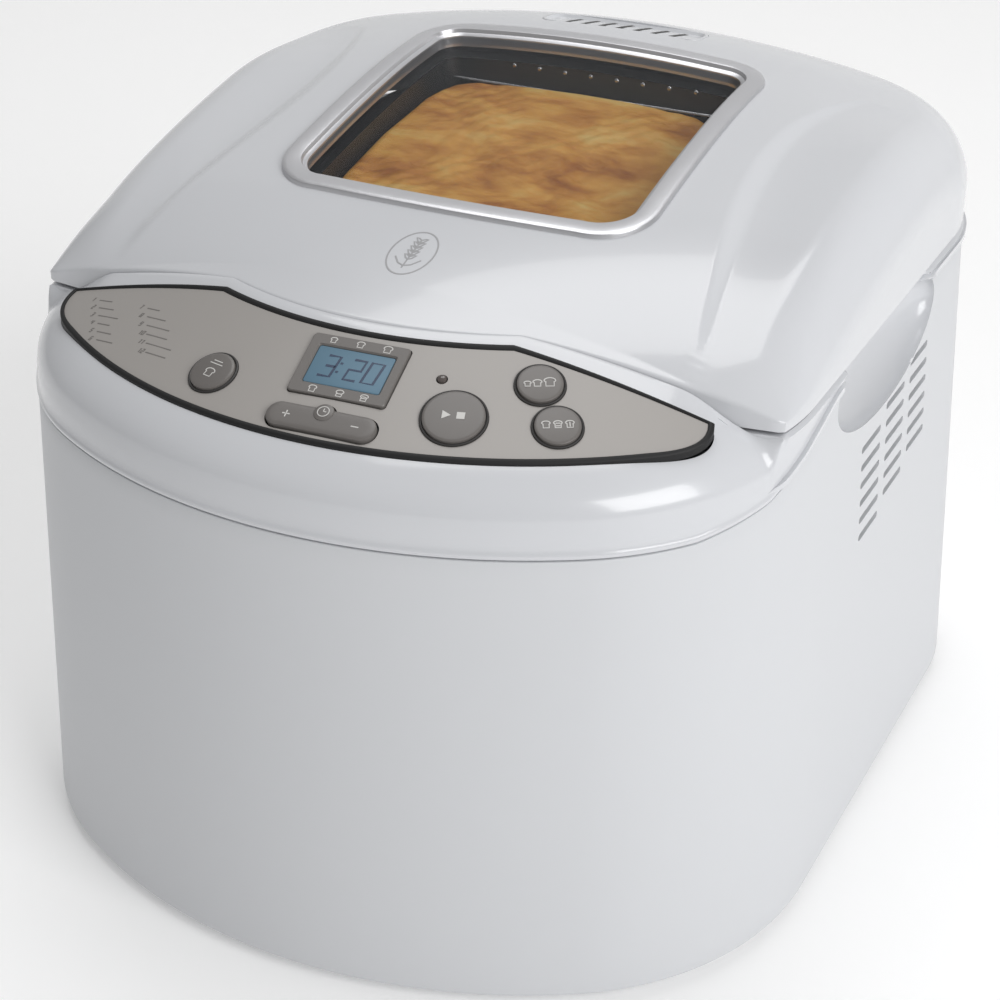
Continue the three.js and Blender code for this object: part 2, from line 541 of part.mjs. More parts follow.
function panFork() {
  const disc = rod(20, 72.5, 76);
  const prongs = [-1, 1].map((s) => block(s > 0 ? 9 : -17, s > 0 ? 17 : -9, AXIS_Y + s * 6.6 - 3, AXIS_Y + s * 6.6 + 3, 66, 73));
  return join(disc, ...prongs, rod(SHAFT_R, 75, 112));
}

function driveBelt() {
  const z0 = PULLEY.z0 + 3;
  const z1 = PULLEY.z1 - 3;
  const big = PULLEY.big - 2.5 + GAP;
  const small = PULLEY.small - 2.5 + GAP;
  const dx = MOTOR.x;
  const dy = MOTOR.y - AXIS_Y;
  const span = Math.hypot(dx, dy);
  const heading = Math.atan2(dy, dx);
  const wrap = Math.acos((big - small) / span);
  const loop = (extra) => {
    const points = [];
    for (let i = 0; i <= 20; i += 1) {
      const a = heading + wrap + (2 * Math.PI - 2 * wrap) * i / 20;
      points.push([(big + extra) * Math.cos(a), AXIS_Y + (big + extra) * Math.sin(a)]);
    }
    for (let i = 0; i <= 8; i += 1) {
      const a = heading - wrap + 2 * wrap * i / 8;
      points.push([MOTOR.x + (small + extra) * Math.cos(a), MOTOR.y + (small + extra) * Math.sin(a)]);
    }
    return points;
  };
  return cut(prism(loop(1.6), z0, z1), prism(loop(0), z0 - 2, z1 + 2));
}

function motor() {
  const { x, y, r, z0, z1 } = MOTOR;
  const can = turned([[0, z0], [14, z0], [14, z0 + 3], [r, z0 + 6], [r, z1 - 8], [r - 6, z1 - 3], [10, z1], [0, z1]], x, y, 24);
  return cut(join(can, block(x - 36, x + 36, y - 8, y + 8, z0, z0 + 2.5)), rod(3.4, z0 - 5, z0 + 24, x, y));
}

const motorShaft = () => rod(3, PULLEY.z0 - 2, MOTOR.z0 + 20, MOTOR.x, MOTOR.y);
const runCapacitor = () => crossRod('x', 13, -40, 14, -112, CHASSIS.z1 + 14);

function powerBoard() {
  const board = block(-100, -44, -138, -92, 56, 57.6);
  const legs = [[-94, -126], [-50, -132], [-94, -98], [-50, -98]].map(([x, y]) => rod(2.5, CHASSIS.z1 + GAP, 57, x, y, 12));
  return join(board, ...legs, block(-94, -68, -126, -104, 57, 80), block(-62, -48, -120, -106, 57, 72));
}

const GLAND_Z = 62;
function cordGland() {
  const y = DEPTH / 2 - wallInset(GLAND_Z);
  return cut(join(crossRod('y', 9, y - 12, DEPTH / 2, -60, GLAND_Z), crossRod('y', 12, y + 0.9, DEPTH / 2, -60, GLAND_Z),
    crossRod('y', 12, y - 12, y - 3.6, -60, GLAND_Z)), crossRod('y', 4.2, 100, 220, -60, GLAND_Z));
}

function ratingPlate() {
  const y = DEPTH / 2 - wallInset(120);
  return sidePrism([[y + GAP + 1, 95], [y + GAP + 2.5 - 1.1, 145], [y + 3 - 1.1, 145], [y + 3, 95]], 10, 60);
}

// ---------------------------------------------------------------- bread pan
function panForm(shrink) {
  const level = (z, taper) => roundedRectangle(-PAN.x + taper + shrink, PAN.x - taper - shrink,
    AXIS_Y - PAN.y + taper + shrink, AXIS_Y + PAN.y - taper - shrink, 16 - shrink, 4).map(([a, b]) => [a, b, z]);
  return loft([level(PAN.z0 + shrink, PAN.taper), level(shrink ? PAN.z1 + 20 : PAN.z1, 0)]);
}

function breadPan() {
  const rim = prism(roundedRectangle(-PAN.x - 3, PAN.x + 3, AXIS_Y - PAN.y - 3, AXIS_Y + PAN.y + 3, 18, 4), PAN.z1 - 1.6, PAN.z1);
  const skirt = turned([[24, SOCKET.z0 + 3], [38, SOCKET.z0 + 3], [38, PAN.z0 + 1], [24, PAN.z0 + 1]]);
  const boss = rod(10, 77, 88);
  const ears = [-1, 1].map((s) => block(s > 0 ? PAN.x - 3 : -PAN.x - 1.5, s > 0 ? PAN.x + 1.5 : -PAN.x + 3,
    AXIS_Y - 9, AXIS_Y + 9, PAN.z1 - 2, PAN.z1 + 9));
  const bores = crossRod('x', 2.4, -100, 100, AXIS_Y, HANDLE.z);
  return cut(join(cut(join(panForm(0), rim), panForm(PAN.wall)), skirt, boss, ...ears), bores, rod(SHAFT_R + 0.08, 60, 100));
}

// Bail handle of round wire, folded down over the back of the rim.
const HANDLE = { z: PAN.z1 + 5, r: 1.9, reach: 52 };
function panHandle() {
  const { z, reach, r } = HANDLE;
  const out = PAN.x + 5;
  const path = new THREE.CurvePath();
  const v = (x, y, up = 0) => new THREE.Vector3(x, AXIS_Y + y, z + up);
  const line = (a, b) => path.add(new THREE.LineCurve3(a, b));
  const bend = (a, b, c) => path.add(new THREE.QuadraticBezierCurve3(a, b, c));
  line(v(PAN.x - 6, 0), v(out - 3, 0));
  bend(v(out - 3, 0), v(out, 0), v(out, 4));
  line(v(out, 4), v(out, reach - 8));
  bend(v(out, reach - 8), v(out, reach), v(out - 8, reach));
  line(v(out - 8, reach), v(8 - out, reach));
  bend(v(8 - out, reach), v(-out, reach), v(-out, reach - 8));
  line(v(-out, reach - 8), v(-out, 4));
  bend(v(-out, 4), v(-out, 0), v(3 - out, 0));
  line(v(3 - out, 0), v(6 - PAN.x, 0));
  return wire(path, r, 48, 6);
}

function kneadingPaddle() {
  const hub = turned([[SHAFT_R + GAP, 89], [10, 89], [8, 114], [0, 115], [0, 112 + GAP], [SHAFT_R + GAP, 112 + GAP]]);
  const blade = sidePrism([[AXIS_Y - 3, 89], [AXIS_Y + 3, 89], [AXIS_Y + 1.5, 114], [AXIS_Y - 1.5, 114]], 6, 44);
  const tip = rod(44, 80, 130, 0, AXIS_Y, 24);
  return cut(join(hub, blade.intersect(tip)), rod(SHAFT_R + GAP, 80, 112 + GAP));
}

// ---------------------------------------------------------------- lid
const LUGS = [-52, 52];
function lidShell() {
  const behindSeam = (offset) => frontRegion(offset, 100, 400);
  const outer = cut(lidForm(0), behindSeam(0));
  const inner = cut(lidForm(WALL), behindSeam(-WALL));
  const notches = LUGS.map((x) => block(x - 12.5, x + 12.5, HINGE.y - 9, HINGE.y + 30, 150, HINGE.z + 9));
  const window = prism(windowOutline(-6), 180, 300);
  const recess = prism(roundedRectangle(-34, 34, 111, 128, 5, 3), CROWN_Z - 6.2, 300);
  const pocket = prism(roundedRectangle(-36, 36, 109, 130, 6, 3), CROWN_Z - 8.7, CROWN_Z - 3);
  const vent = prism(roundedRectangle(-26, 26, 114, 125, 3, 3), 200, 300);
  const rearSwing = block(-108, 108, HINGE.y + 1, HINGE.y + 40, 150, HINGE.z + 0.8);
  return cut(join(cut(outer, inner), pocket.intersect(outer)), window, recess, vent, rearSwing, ...notches);
}

// The shape of the top at the window, carried as a layer of the lid's form.
const lidLayer = (low, high) => lidForm(-high).subtract(lidForm(-low));

function windowFrame() {
  const sheet = cut(prism(windowOutline(0), 180, 300), prism(windowOutline(-9), 170, 310));
  const lip = cut(prism(windowOutline(-6.5), 180, 300), prism(windowOutline(-9), 170, 310));
  return join(sheet.intersect(lidLayer(GAP, 1.8)), lip.intersect(lidLayer(-5, 0.6)));
}

const windowGlass = () => prism(windowOutline(-9.4), 180, 300).intersect(lidLayer(-4, -1));

function ventGrille() {
  const plate = prism(roundedRectangle(-33.6, 33.6, 111.4, 127.6, 4.6, 3), CROWN_Z - 5.9, CROWN_Z - 4.4);
  const slots = Array.from({ length: 7 }, (_, i) => {
    const x = -22.5 + i * 7.5;
    return prism([[x - 2.5, 115], [x - 0.5, 115], [x + 2.5, 124], [x + 0.5, 124]], 200, 300);
  });
  return cut(plate, ...slots);
}

// Steel inner tray of the lid, with a well up to the inner pane and knuckles at the back for the hinge.
const LINER = { x: 98, y0: -74, y1: 122, z0: 203, top: 216, wall: 1.2 };
const INNER_PANE = { low: -8.5, high: -6, grow: -9.8 };     // layer below the lid's top, and its outline
function lidLiner() {
  const { x, y0, y1, z0, top, wall } = LINER;
  const flange = prism(roundedRectangle(-x - 10, x + 10, y0 - 6, y1 + 12, 22, 4), z0, z0 + wall);
  const dome = prism(roundedRectangle(-x, x, y0, y1, 20, 4), z0, top);
  const hollow = prism(roundedRectangle(-x + wall, x - wall, y0 + wall, y1 - wall, 19, 4), z0 - 5, top - wall);
  const opening = prism(windowOutline(INNER_PANE.grow - wall), top - 10, 300);
  const well = prism(windowOutline(INNER_PANE.grow), top - wall, 300).intersect(lidForm(GAP - INNER_PANE.low));
  const vents = [-20, -10, 0, 10, 20].map((a) => rod(2, top - 10, top + 10, a, 106, 10));
  const arms = LUGS.map((a) => {
    const side = Math.sign(a);
    const arm = block(Math.min(a - side * 5, a - side * 10), Math.max(a - side * 5, a - side * 10),
      y1 + 4, HINGE.y, z0, z0 + 6.5);
    const eye = crossRod('x', 4.8, Math.min(a - side * 5, a - side * 10), Math.max(a - side * 5, a - side * 10), HINGE.y, HINGE.z);
    return join(arm, eye);
  });
  const shape = join(cut(join(cut(join(flange, dome), hollow), well), opening, ...vents), ...arms);
  return cut(shape, crossRod('x', HINGE.pinR + 0.1, -90, 90, HINGE.y, HINGE.z));
}

const innerGlass = () => prism(windowOutline(INNER_PANE.grow), 180, 300)
  .intersect(lidLayer(INNER_PANE.low, INNER_PANE.high));

function lidSeal() {
  const x = OVEN.x + 14;
  return cut(prism(roundedRectangle(-x + 4, x - 4, OVEN.y0 - 11, OVEN.y1 + 10, 16, 3), LID_Z + 0.4, LINER.z0 - GAP),
    prism(roundedRectangle(-x + 9, x - 9, OVEN.y0 - 6, OVEN.y1 + 5, 14, 3), 190, 220));
}

// Ears on the deck that carry the hinge pins, each with its own screw.
function hingeBracket(side) {
  const a = side * 52;
  const ear = join(crossRod('x', 4.8, a - 4, a + 4, HINGE.y, HINGE.z),
    block(a - 4, a + 4, HINGE.y - 4.8, HINGE.y + 3, DECK_Z + GAP, HINGE.z));
  const foot = block(Math.min(a, a + side * 24), Math.max(a, a + side * 24), HINGE.screwY - 6, HINGE.y - 3.4,
    DECK_Z + GAP, DECK_Z + 2.3);
  return cut(join(ear, foot), crossRod('x', HINGE.pinR + 0.05, -90, 90, HINGE.y, HINGE.z), rod(1.9, 190, 210, side * HINGE.screwX, HINGE.screwY, 12));
}

const hingeHoles = () => join(...[-1, 1].map((side) => rod(1.9, 180, 210, side * HINGE.screwX, HINGE.screwY, 12)));
const hingePin = (side) => crossRod('x', HINGE.pinR, Math.min(side * 41, side * 57), Math.max(side * 41, side * 57), HINGE.y, HINGE.z);
const hingeScrew = (side) => turned([[0, 190], [1.6, 190], [1.6, DECK_Z + 2.6], [3.6, DECK_Z + 2.6], [3, DECK_Z + 4.2], [0, DECK_Z + 4.4]],
  side * HINGE.screwX, HINGE.screwY, 16);

// ---------------------------------------------------------------- assembly
const machine = new THREE.Group();
const add = (name, shape, material, into = machine) => into.add(piece(name, shape, material));

add('base_tray', baseTray(), WHITE_SATIN);
FEET.forEach((place, i) => add(`foot_${i + 1}`, foot(place), BLACK_RUBBER));
add('lower_housing', lowerHousing(), WHITE_SATIN);
add('upper_collar', upperCollar(), WHITE_GLOSS);
add('control_fascia', controlFascia(), TAUPE);
add('fascia_gasket', fasciaGasket(), BLACK_RUBBER);
add('cord_gland', cordGland(), BLACK_RUBBER);
add('rating_plate', ratingPlate(), SILVER);

const placed = (spot) => {
  const frame = panelFrame(spot.turn, spot.radius);
  machine.add(frame);
  return frame;
};
for (const [name, key] of Object.entries(KEYS)) add(name, keyShape(key.r), KEY_GREY, placed(key));
add('timer_rocker', rockerShape(), KEY_GREY, placed(ROCKER));
add('lcd_bezel', lcdBezel(), KEY_GREY, placed(LCD));
add('lcd_module', lcdModule(), LCD_BLUE, placed(LCD));
add('status_led', statusLed(), LED_RED, placed(LED));
add('control_board', controlBoard(), BOARD_GREEN, placed(BOARD));

add('chassis_plate', chassisPlate(), STEEL);
POSTS.forEach((place, i) => add(`chassis_screw_${i + 1}`, chassisScrew(place), STEEL));
add('oven_liner', ovenLiner(), DARK_STEEL);
add('heater_element', heaterElement(), DARK_STEEL);
add('temperature_probe', temperatureProbe(), STEEL);
add('pan_socket', panSocket(), STEEL);
add('bearing_housing', bearingHousing(), STEEL);
add('drive_bush', driveBush(), BRONZE);
add('drive_shaft', driveShaft(), STEEL);
add('drive_pulley', pulley(PULLEY.big, 0, AXIS_Y, SHAFT_R + GAP, 6), WHITE_SATIN);
add('drive_dog', driveDog(), STEEL);
add('drive_belt', driveBelt(), BLACK_RUBBER);
add('motor', motor(), STEEL);
add('motor_shaft', motorShaft(), STEEL);
add('motor_pulley', pulley(PULLEY.small, MOTOR.x, MOTOR.y, 3 + GAP, 0), STEEL);
add('run_capacitor', runCapacitor(), SILVER);
add('power_board', powerBoard(), BOARD_GREEN);

add('bread_pan', breadPan(), NON_STICK);
add('pan_handle', panHandle(), STEEL);
add('pan_spindle', panFork(), STEEL);
add('kneading_paddle', kneadingPaddle(), NON_STICK);

add('lid_shell', lidShell(), WHITE_GLOSS);
add('lid_liner', lidLiner(), STEEL);
add('window_frame', windowFrame(), SILVER);
add('window_glass', windowGlass(), GLASS);
add('inner_glass', innerGlass(), GLASS);
add('vent_grille', ventGrille(), WHITE_GLOSS);
add('lid_seal', lidSeal(), BLACK_RUBBER);
[['left', -1], ['right', 1]].forEach(([label, side]) => {
  add(`hinge_bracket_${label}`, hingeBracket(side), STEEL);
  add(`hinge_pin_${label}`, hingePin(side), STEEL);
  add(`hinge_screw_${label}`, hingeScrew(side), STEEL);
});

export default machine;
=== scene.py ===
import json
import math

import bmesh
import bpy
import numpy as np
from mathutils import Matrix, Vector


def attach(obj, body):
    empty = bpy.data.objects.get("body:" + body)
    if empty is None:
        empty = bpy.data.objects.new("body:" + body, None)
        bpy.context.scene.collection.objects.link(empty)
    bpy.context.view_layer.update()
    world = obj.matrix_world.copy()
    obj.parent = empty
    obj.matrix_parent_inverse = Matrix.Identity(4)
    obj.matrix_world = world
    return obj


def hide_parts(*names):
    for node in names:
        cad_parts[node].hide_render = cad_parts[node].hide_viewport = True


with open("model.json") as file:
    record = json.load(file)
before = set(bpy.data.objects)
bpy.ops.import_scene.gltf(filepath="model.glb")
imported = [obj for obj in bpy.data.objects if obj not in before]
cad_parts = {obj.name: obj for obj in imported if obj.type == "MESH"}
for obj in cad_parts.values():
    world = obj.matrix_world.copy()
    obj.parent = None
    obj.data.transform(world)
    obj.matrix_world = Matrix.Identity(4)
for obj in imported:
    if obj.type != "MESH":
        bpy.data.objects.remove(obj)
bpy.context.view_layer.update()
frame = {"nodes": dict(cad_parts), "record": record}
nodes = frame["nodes"]
MM = 0.001

# ------------------------------------------------------------------ lower housing
# The tub that makes the outside walls, injection moulded in white polypropylene with a fine
# spark-eroded texture. It stands on the base tray, and the collar snaps over its top edge.
DEPTH = 352.0             # sizes of the plan, in mm
FRONT_R = 199.2
CORNER_R = 103.3
REAR_R = 80.4
SIDE_D = 153.8
TURN = math.radians(1.79)
FLARE = 0.049
ARC_Y = FRONT_R - DEPTH / 2
FOOT_H = 4.5
WALL = 2.5
along = SIDE_D - CORNER_R
reach = math.sqrt((FRONT_R - CORNER_R) ** 2 - along ** 2)
CORNER_X = along * math.cos(TURN) - reach * math.sin(TURN)
CORNER_Y = ARC_Y - along * math.sin(TURN) - reach * math.cos(TURN)
FRONT_END = math.atan2(CORNER_X, ARC_Y - CORNER_Y)
SIDE_FACING = math.pi / 2 - TURN
REAR_Y = DEPTH / 2 - REAR_R
REAR_X = (SIDE_D - REAR_R + (REAR_Y - ARC_Y) * math.sin(TURN)) / math.cos(TURN)
SEAM_Y = [-118, -92, -66, -44, -30]             # height of the housing's top edge, front to back
SEAM_Z = [173.6, 177.6, 186.6, 191.5, 193.0]
GRIP = {"y": 14, "z": 186, "half": (15, 54, 20)}


def wall_inset(z):
    """How far the wall has leaned in at height z: the lean per mm times the height above the base."""
    return FLARE * (z - FOOT_H)


def plan_arcs(front=70, corner=50, side=50, rear=60):
    """Centres, radii and facings of the plan, all the way round from the middle of the front.
    Each arc is cut at even angles, and a side slides its centre and radius from one arc to the next."""
    def steps(n):
        return np.linspace(0, 1, n, endpoint=False)
    right = np.concatenate([
        np.stack([0 * steps(front), ARC_Y + 0 * steps(front), FRONT_R + 0 * steps(front),
                  FRONT_END * steps(front)], 1),
        np.stack([CORNER_X + 0 * steps(corner), CORNER_Y + 0 * steps(corner),
                  CORNER_R + 0 * steps(corner),
                  FRONT_END + (SIDE_FACING - FRONT_END) * steps(corner)], 1),
        np.stack([CORNER_X + (REAR_X - CORNER_X) * steps(side),
                  CORNER_Y + (REAR_Y - CORNER_Y) * steps(side),
                  CORNER_R + (REAR_R - CORNER_R) * steps(side), SIDE_FACING + 0 * steps(side)], 1),
        np.stack([REAR_X + 0 * steps(rear), REAR_Y + 0 * steps(rear), REAR_R + 0 * steps(rear),
                  SIDE_FACING + (math.pi - SIDE_FACING) * steps(rear)], 1),
        np.stack([REAR_X * (1 - steps(20)), REAR_Y + 0 * steps(20), REAR_R + 0 * steps(20),
                  math.pi + 0 * steps(20)], 1),
        [[0, REAR_Y, REAR_R, math.pi]]])
    left = right[1:-1][::-1] * [-1, 1, 1, -1]
    return np.concatenate([right, left])


PLAN = plan_arcs()


def plan_point(inset):
    """Points of the plan drawn in by inset: arc centre plus (radius - inset) along the facing."""
    r = PLAN[:, 2] - inset
    return PLAN[:, 0] + r * np.sin(PLAN[:, 3]), PLAN[:, 1] - r * np.cos(PLAN[:, 3])


def skin(name, rows, closed=False, caps=False, smooth=30):
    """A mesh over a grid of points (rows, columns, xyz) in mm whose columns go all the way round.
    Neighbouring points make a four-sided face; closed joins the last row to the first, and caps
    closes the two end rows with one face each. Edges sharper than smooth degrees stay crisp."""
    rows = np.asarray(rows, float)
    m, n = rows.shape[:2]
    last = m if closed else m - 1
    i, j = np.meshgrid(np.arange(last), np.arange(n), indexing="ij")
    a, b = i * n + j, i * n + (j + 1) % n
    c, d = ((i + 1) % m) * n + (j + 1) % n, ((i + 1) % m) * n + j
    faces = np.stack([a, b, c, d], -1).reshape(-1, 4).tolist()
    if caps:
        faces += [list(range(n))[::-1], list(range((m - 1) * n, m * n))]
    mesh = bpy.data.meshes.new(name)
    mesh.from_pydata((rows.reshape(-1, 3) * MM).tolist(), [], faces)
    return finished(bpy.data.objects.new(name, mesh), smooth)


def finished(piece, smooth=30):
    """Puts a piece in the scene, merges doubled points, turns all faces outwards, shades it smooth."""
    if piece.name not in bpy.context.scene.collection.objects:
        bpy.context.scene.collection.objects.link(piece)
    work = bmesh.new()
    work.from_mesh(piece.data)
    bmesh.ops.remove_doubles(work, verts=work.verts, dist=2e-6)
    bmesh.ops.dissolve_degenerate(work, edges=work.edges, dist=1e-6)
    bmesh.ops.recalc_face_normals(work, faces=work.faces)
    work.to_mesh(piece.data)
    work.free()
    piece.data.shade_smooth()
    piece.data.set_sharp_from_angle(angle=math.radians(smooth))
    return piece


def modified(piece, kind, smooth=30, **settings):
    """Adds one modifier with these settings and makes its result the piece's own mesh."""
    change = piece.modifiers.new(kind.title(), kind)
    for key, value in settings.items():
        setattr(change, key, value)
    bpy.context.view_layer.update()
    made = piece.evaluated_get(bpy.context.evaluated_depsgraph_get())
    mesh = bpy.data.meshes.new_from_object(made)
    piece.modifiers.clear()
    piece.data = mesh
    piece.data.shade_smooth()
    piece.data.set_sharp_from_angle(angle=math.radians(smooth))
    return piece


def cut_out(piece, *tools, smooth=30):
    """Cuts closed tool shapes out of a closed piece, and removes the tools."""
    for tool in tools:
        modified(piece, "BOOLEAN", smooth, operation="DIFFERENCE", object=tool, solver="EXACT")
        bpy.data.objects.remove(tool)
    return piece


def egg(name, middle, half, rows=48, columns=96):
    """A closed ellipsoid: rings of cos and sin from pole to pole, scaled by the three half sizes."""
    v = np.linspace(-math.pi / 2 + 1e-4, math.pi / 2 - 1e-4, rows)[:, None]
    u = np.linspace(0, 2 * math.pi, columns, endpoint=False)[None]
    grid = np.stack([middle[0] + half[0] * np.cos(v) * np.cos(u),
                     middle[1] + half[1] * np.cos(v) * np.sin(u),
                     middle[2] + half[2] * np.sin(v) + 0 * u], -1)
    return skin(name, grid, caps=True)


def rounded_box(x0, x1, y0, y1, r, steps=6):
    """A rounded rectangle as (x, y) points: four quarter circles at the corners."""
    turn = np.linspace(0, math.pi / 2, steps + 1)
    parts = []
    for cx, cy, start in ((x1 - r, y0 + r, -90), (x1 - r, y1 - r, 0), (x0 + r, y1 - r, 90),
                          (x0 + r, y0 + r, 180)):
        a = turn + math.radians(start)
        parts.append(np.stack([cx + r * np.cos(a), cy + r * np.sin(a)], 1))
    return np.concatenate(parts)


def column(name, outline, levels):
    """A closed upright column over an outline: one ring of its points at each level, capped."""
    rings = [np.column_stack([outline, np.full(len(outline), z)]) for z in levels]
    return skin(name, rings, caps=True)


def side_face(y, z):
    """Distance x of the side wall's face at depth y and height z: the plan's side line less the lean."""
    return (SIDE_D + (y - ARC_Y) * math.sin(TURN)) / math.cos(TURN) - wall_inset(z)


def grip_plug(side):
    """A plug with the grip's elliptic outline that passes through one side wall."""
    a = np.linspace(0, 2 * math.pi, 96, endpoint=False)
    ring = [GRIP["y"] + GRIP["half"][1] * np.cos(a), GRIP["z"] + GRIP["half"][2] * np.sin(a)]
    return skin(f"grip_plug_{side}", [np.column_stack([np.full(96, side * x), *ring]) for x in (120, 170)],
                caps=True)


def seam_height(y):
    """Height of the joint under the collar at depth y: straight runs between the given points."""
    return np.interp(y, SEAM_Y, SEAM_Z)


def housing_shell():
    """A profile carried round the plan: up the outside from a rounded foot to the seam, where a
    1 mm step sets it back, then down the inside one wall thickness further in."""
    foot = [(0.9, 0), (0.35, 0.25), (0.08, 0.8), (0, 1.6)]
    rows = []
    for inset, rise in foot:
        z = FOOT_H + rise
        x, y = plan_point(wall_inset(z) + inset)
        rows.append(np.stack([x, y, np.full_like(x, z)], 1))
    _, y_seam = plan_point(wall_inset(180))
    top = seam_height(y_seam) - 0.3
    for share in np.linspace(0.03, 1, 26):
        z = FOOT_H + 1.6 + (top - 0.5 - FOOT_H - 1.6) * share
        x, y = plan_point(wall_inset(z))
        rows.append(np.stack([x, y, z], 1))
    for inset, drop in ((0.15, 0.15), (0.5, 0), (WALL - 0.3, 0), (WALL, 0.3), (WALL, 6)):
        x, y = plan_point(wall_inset(top) + inset)
        rows.append(np.stack([x, y, top - drop], 1))
    x, y = plan_point(wall_inset(FOOT_H) + WALL)
    rows.append(np.stack([x, y, np.full_like(x, FOOT_H)], 1))
    return skin("housing_wall", rows, closed=True)


LOUVRE = {"y": -12.0, "z": 122.0, "columns": 3, "rows": 6, "pitch": (27.0, 7.0), "climb": 5.0,
          "length": 21.0, "r": 1.3}


def louvre_slots():
    """Tools for the louvres: columns of level round-ended slots through each side wall, each column
    a step higher than the one in front."""
    tools = []
    end = np.linspace(-math.pi / 2, math.pi / 2, 7)
    for side in (-1, 1):
        for at in range(LOUVRE["columns"]):
            for level in range(LOUVRE["rows"]):
                r = LOUVRE["r"]
                y = LOUVRE["y"] + LOUVRE["pitch"][0] * at
                z = LOUVRE["z"] + LOUVRE["pitch"][1] * level + LOUVRE["climb"] * at
                far = y + LOUVRE["length"] - r
                ring = np.concatenate([
                    np.stack([far + r * np.cos(end), z + r + r * np.sin(end)], 1),
                    np.stack([y + r - r * np.cos(end), z + r - r * np.sin(end)], 1)])
                rings = [np.column_stack([np.full(len(ring), side * x), ring]) for x in (130, 165)]
                tools.append(skin(f"slot_tool_{side}_{at}_{level}", rings, caps=True))
    bpy.ops.object.select_all(action="DESELECT")
    for tool in tools:
        tool.select_set(True)
    bpy.context.view_layer.objects.active = tools[0]
    bpy.ops.object.join()
    return tools[0]


def blank_material(name, **values):
    """A new material, its node tree and its shader, whose sockets get these values (_ for a space)."""
    made = bpy.data.materials.new(name)
    made.use_nodes = True
    shader = made.node_tree.nodes["Principled BSDF"]
    for socket, value in values.items():
        shader.inputs[socket.replace("_", " ")].default_value = value
    return made, made.node_tree, shader


def add_node(tree, kind, **values):
    """Adds a shader node and puts these values on its input sockets (_ for a space in a name)."""
    made = tree.nodes.new("ShaderNode" + kind)
    if kind == "Mix":
        made.data_type = "RGBA"
    for socket, value in values.items():
        made.inputs[socket.replace("_", " ")].default_value = value
    return made


def wire(tree, *runs):
    """Links nodes: each run is a node, one of its outputs, another node and one of its inputs."""
    for start, output, end, socket in runs:
        tree.links.new(start.outputs[output], end.inputs[socket])


def moulded_plastic(name, colour, rough, grain, depth, coat=0.0, age=0.02):
    """Plastic from one mould: a slow drift of tone and gloss over tens of mm, and a fine bumped
    grain at the given size in mm."""
    made, tree, shader = blank_material(name, IOR=1.49, Coat_Weight=coat, Coat_Roughness=0.06)
    place = add_node(tree, "TexCoord")
    slow = add_node(tree, "TexNoise", Scale=22, Detail=3)
    tone = add_node(tree, "MapRange", To_Min=rough - 0.035, To_Max=rough + 0.035)
    tint = add_node(tree, "Mix", A=(*[c * (1 - age) for c in colour], 1), B=(*colour, 1))
    fine = add_node(tree, "TexNoise", Scale=1000 / grain, Detail=2)
    bump = add_node(tree, "Bump", Strength=0.35, Distance=depth * MM)
    wire(tree, (place, "Object", slow, "Vector"), (place, "Object", fine, "Vector"),
         (slow, "Fac", tone, "Value"), (tone, "Result", shader, "Roughness"),
         (slow, "Fac", tint, "Factor"), (tint, "Result", shader, "Base Color"),
         (fine, "Fac", bump, "Height"), (bump, "Normal", shader, "Normal"))
    return made


def dressed(piece, material):
    """Gives a piece or a frame node this one material."""
    piece.data.materials.clear()
    piece.data.materials.append(material)
    return piece


def fitted(piece, material, body, node=None):
    """Dresses a piece, makes it ride with its body and hides the frame node it stands for, if one is given.
    """
    dressed(piece, material)
    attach(piece, body)
    if node:
        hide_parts(node)


SATIN_WHITE = moulded_plastic("satin_white_plastic", (0.62, 0.63, 0.65), 0.42, 0.7, 0.02)
housing = housing_shell()
cut_out(housing, louvre_slots(), grip_plug(-1), grip_plug(1))
gland_ring = np.stack([-60 + 9.3 * np.cos(np.linspace(0, 2 * math.pi, 32, endpoint=False)),
                       62 + 9.3 * np.sin(np.linspace(0, 2 * math.pi, 32, endpoint=False))], 1)
gland_tool = skin("gland_tool", [np.column_stack([gland_ring[:, 0], np.full(32, y), gland_ring[:, 1]])
                                 for y in (150.0, 190.0)], caps=True)
cut_out(housing, gland_tool)
fitted(housing, SATIN_WHITE, "casing", "lower_housing")

# ------------------------------------------------------------------ upper collar
# The gloss white moulding on top of the housing: a rolled lip over the seam, the console that
# carries the panel on a cone, the deck under the lid, and the two finger hollows.
GAP = 0.3
PANEL_Z = 190.2           # height of the cone over the plan's outline, and its slope
SLOPE = math.radians(24.57)
SEAM_R = 130.6            # the lid's front edge: an arc up to the wing's turn, then a line to a point
WING = math.radians(24)
WING_X, WING_Y = 146.0, -84.0
SHOULDER_Z = 184.0        # where the wall turns into the console's shoulder
LEAN_Z = 189.0            # above this the wall stands upright
DECK_Z = 198.0
MOUTH_X, MOUTH_Y = 95.0, 92.0
OVEN_Y = 23.0             # middle of the oven and its pan
START_X, START_Y = SEAM_R * math.sin(WING), ARC_Y - SEAM_R * math.cos(WING)
WING_SLOPE = (WING_Y - START_Y) / (WING_X - START_X)


def seam_line(x):
    """Depth y of the lid's front edge at x: an arc in the middle and straight wings beside it."""
    side = np.abs(x)
    arc = ARC_Y - np.sqrt(np.maximum(SEAM_R ** 2 - side ** 2, 0))
    return np.where(side < START_X, arc, START_Y + WING_SLOPE * (side - START_X))


def ease(value, start, stop):
    """A smooth step from 0 at start to 1 at stop."""
    t = np.clip((value - start) / (stop - start), 0, 1)
    return t * t * (3 - 2 * t)


def soft_least(a, b, blend):
    """The smaller of two heights, rounded over where they come within blend of each other."""
    near = np.clip(0.5 + 0.5 * (b - a) / blend, 0, 1)
    return b * (1 - near) + a * near - blend * near * (1 - near)


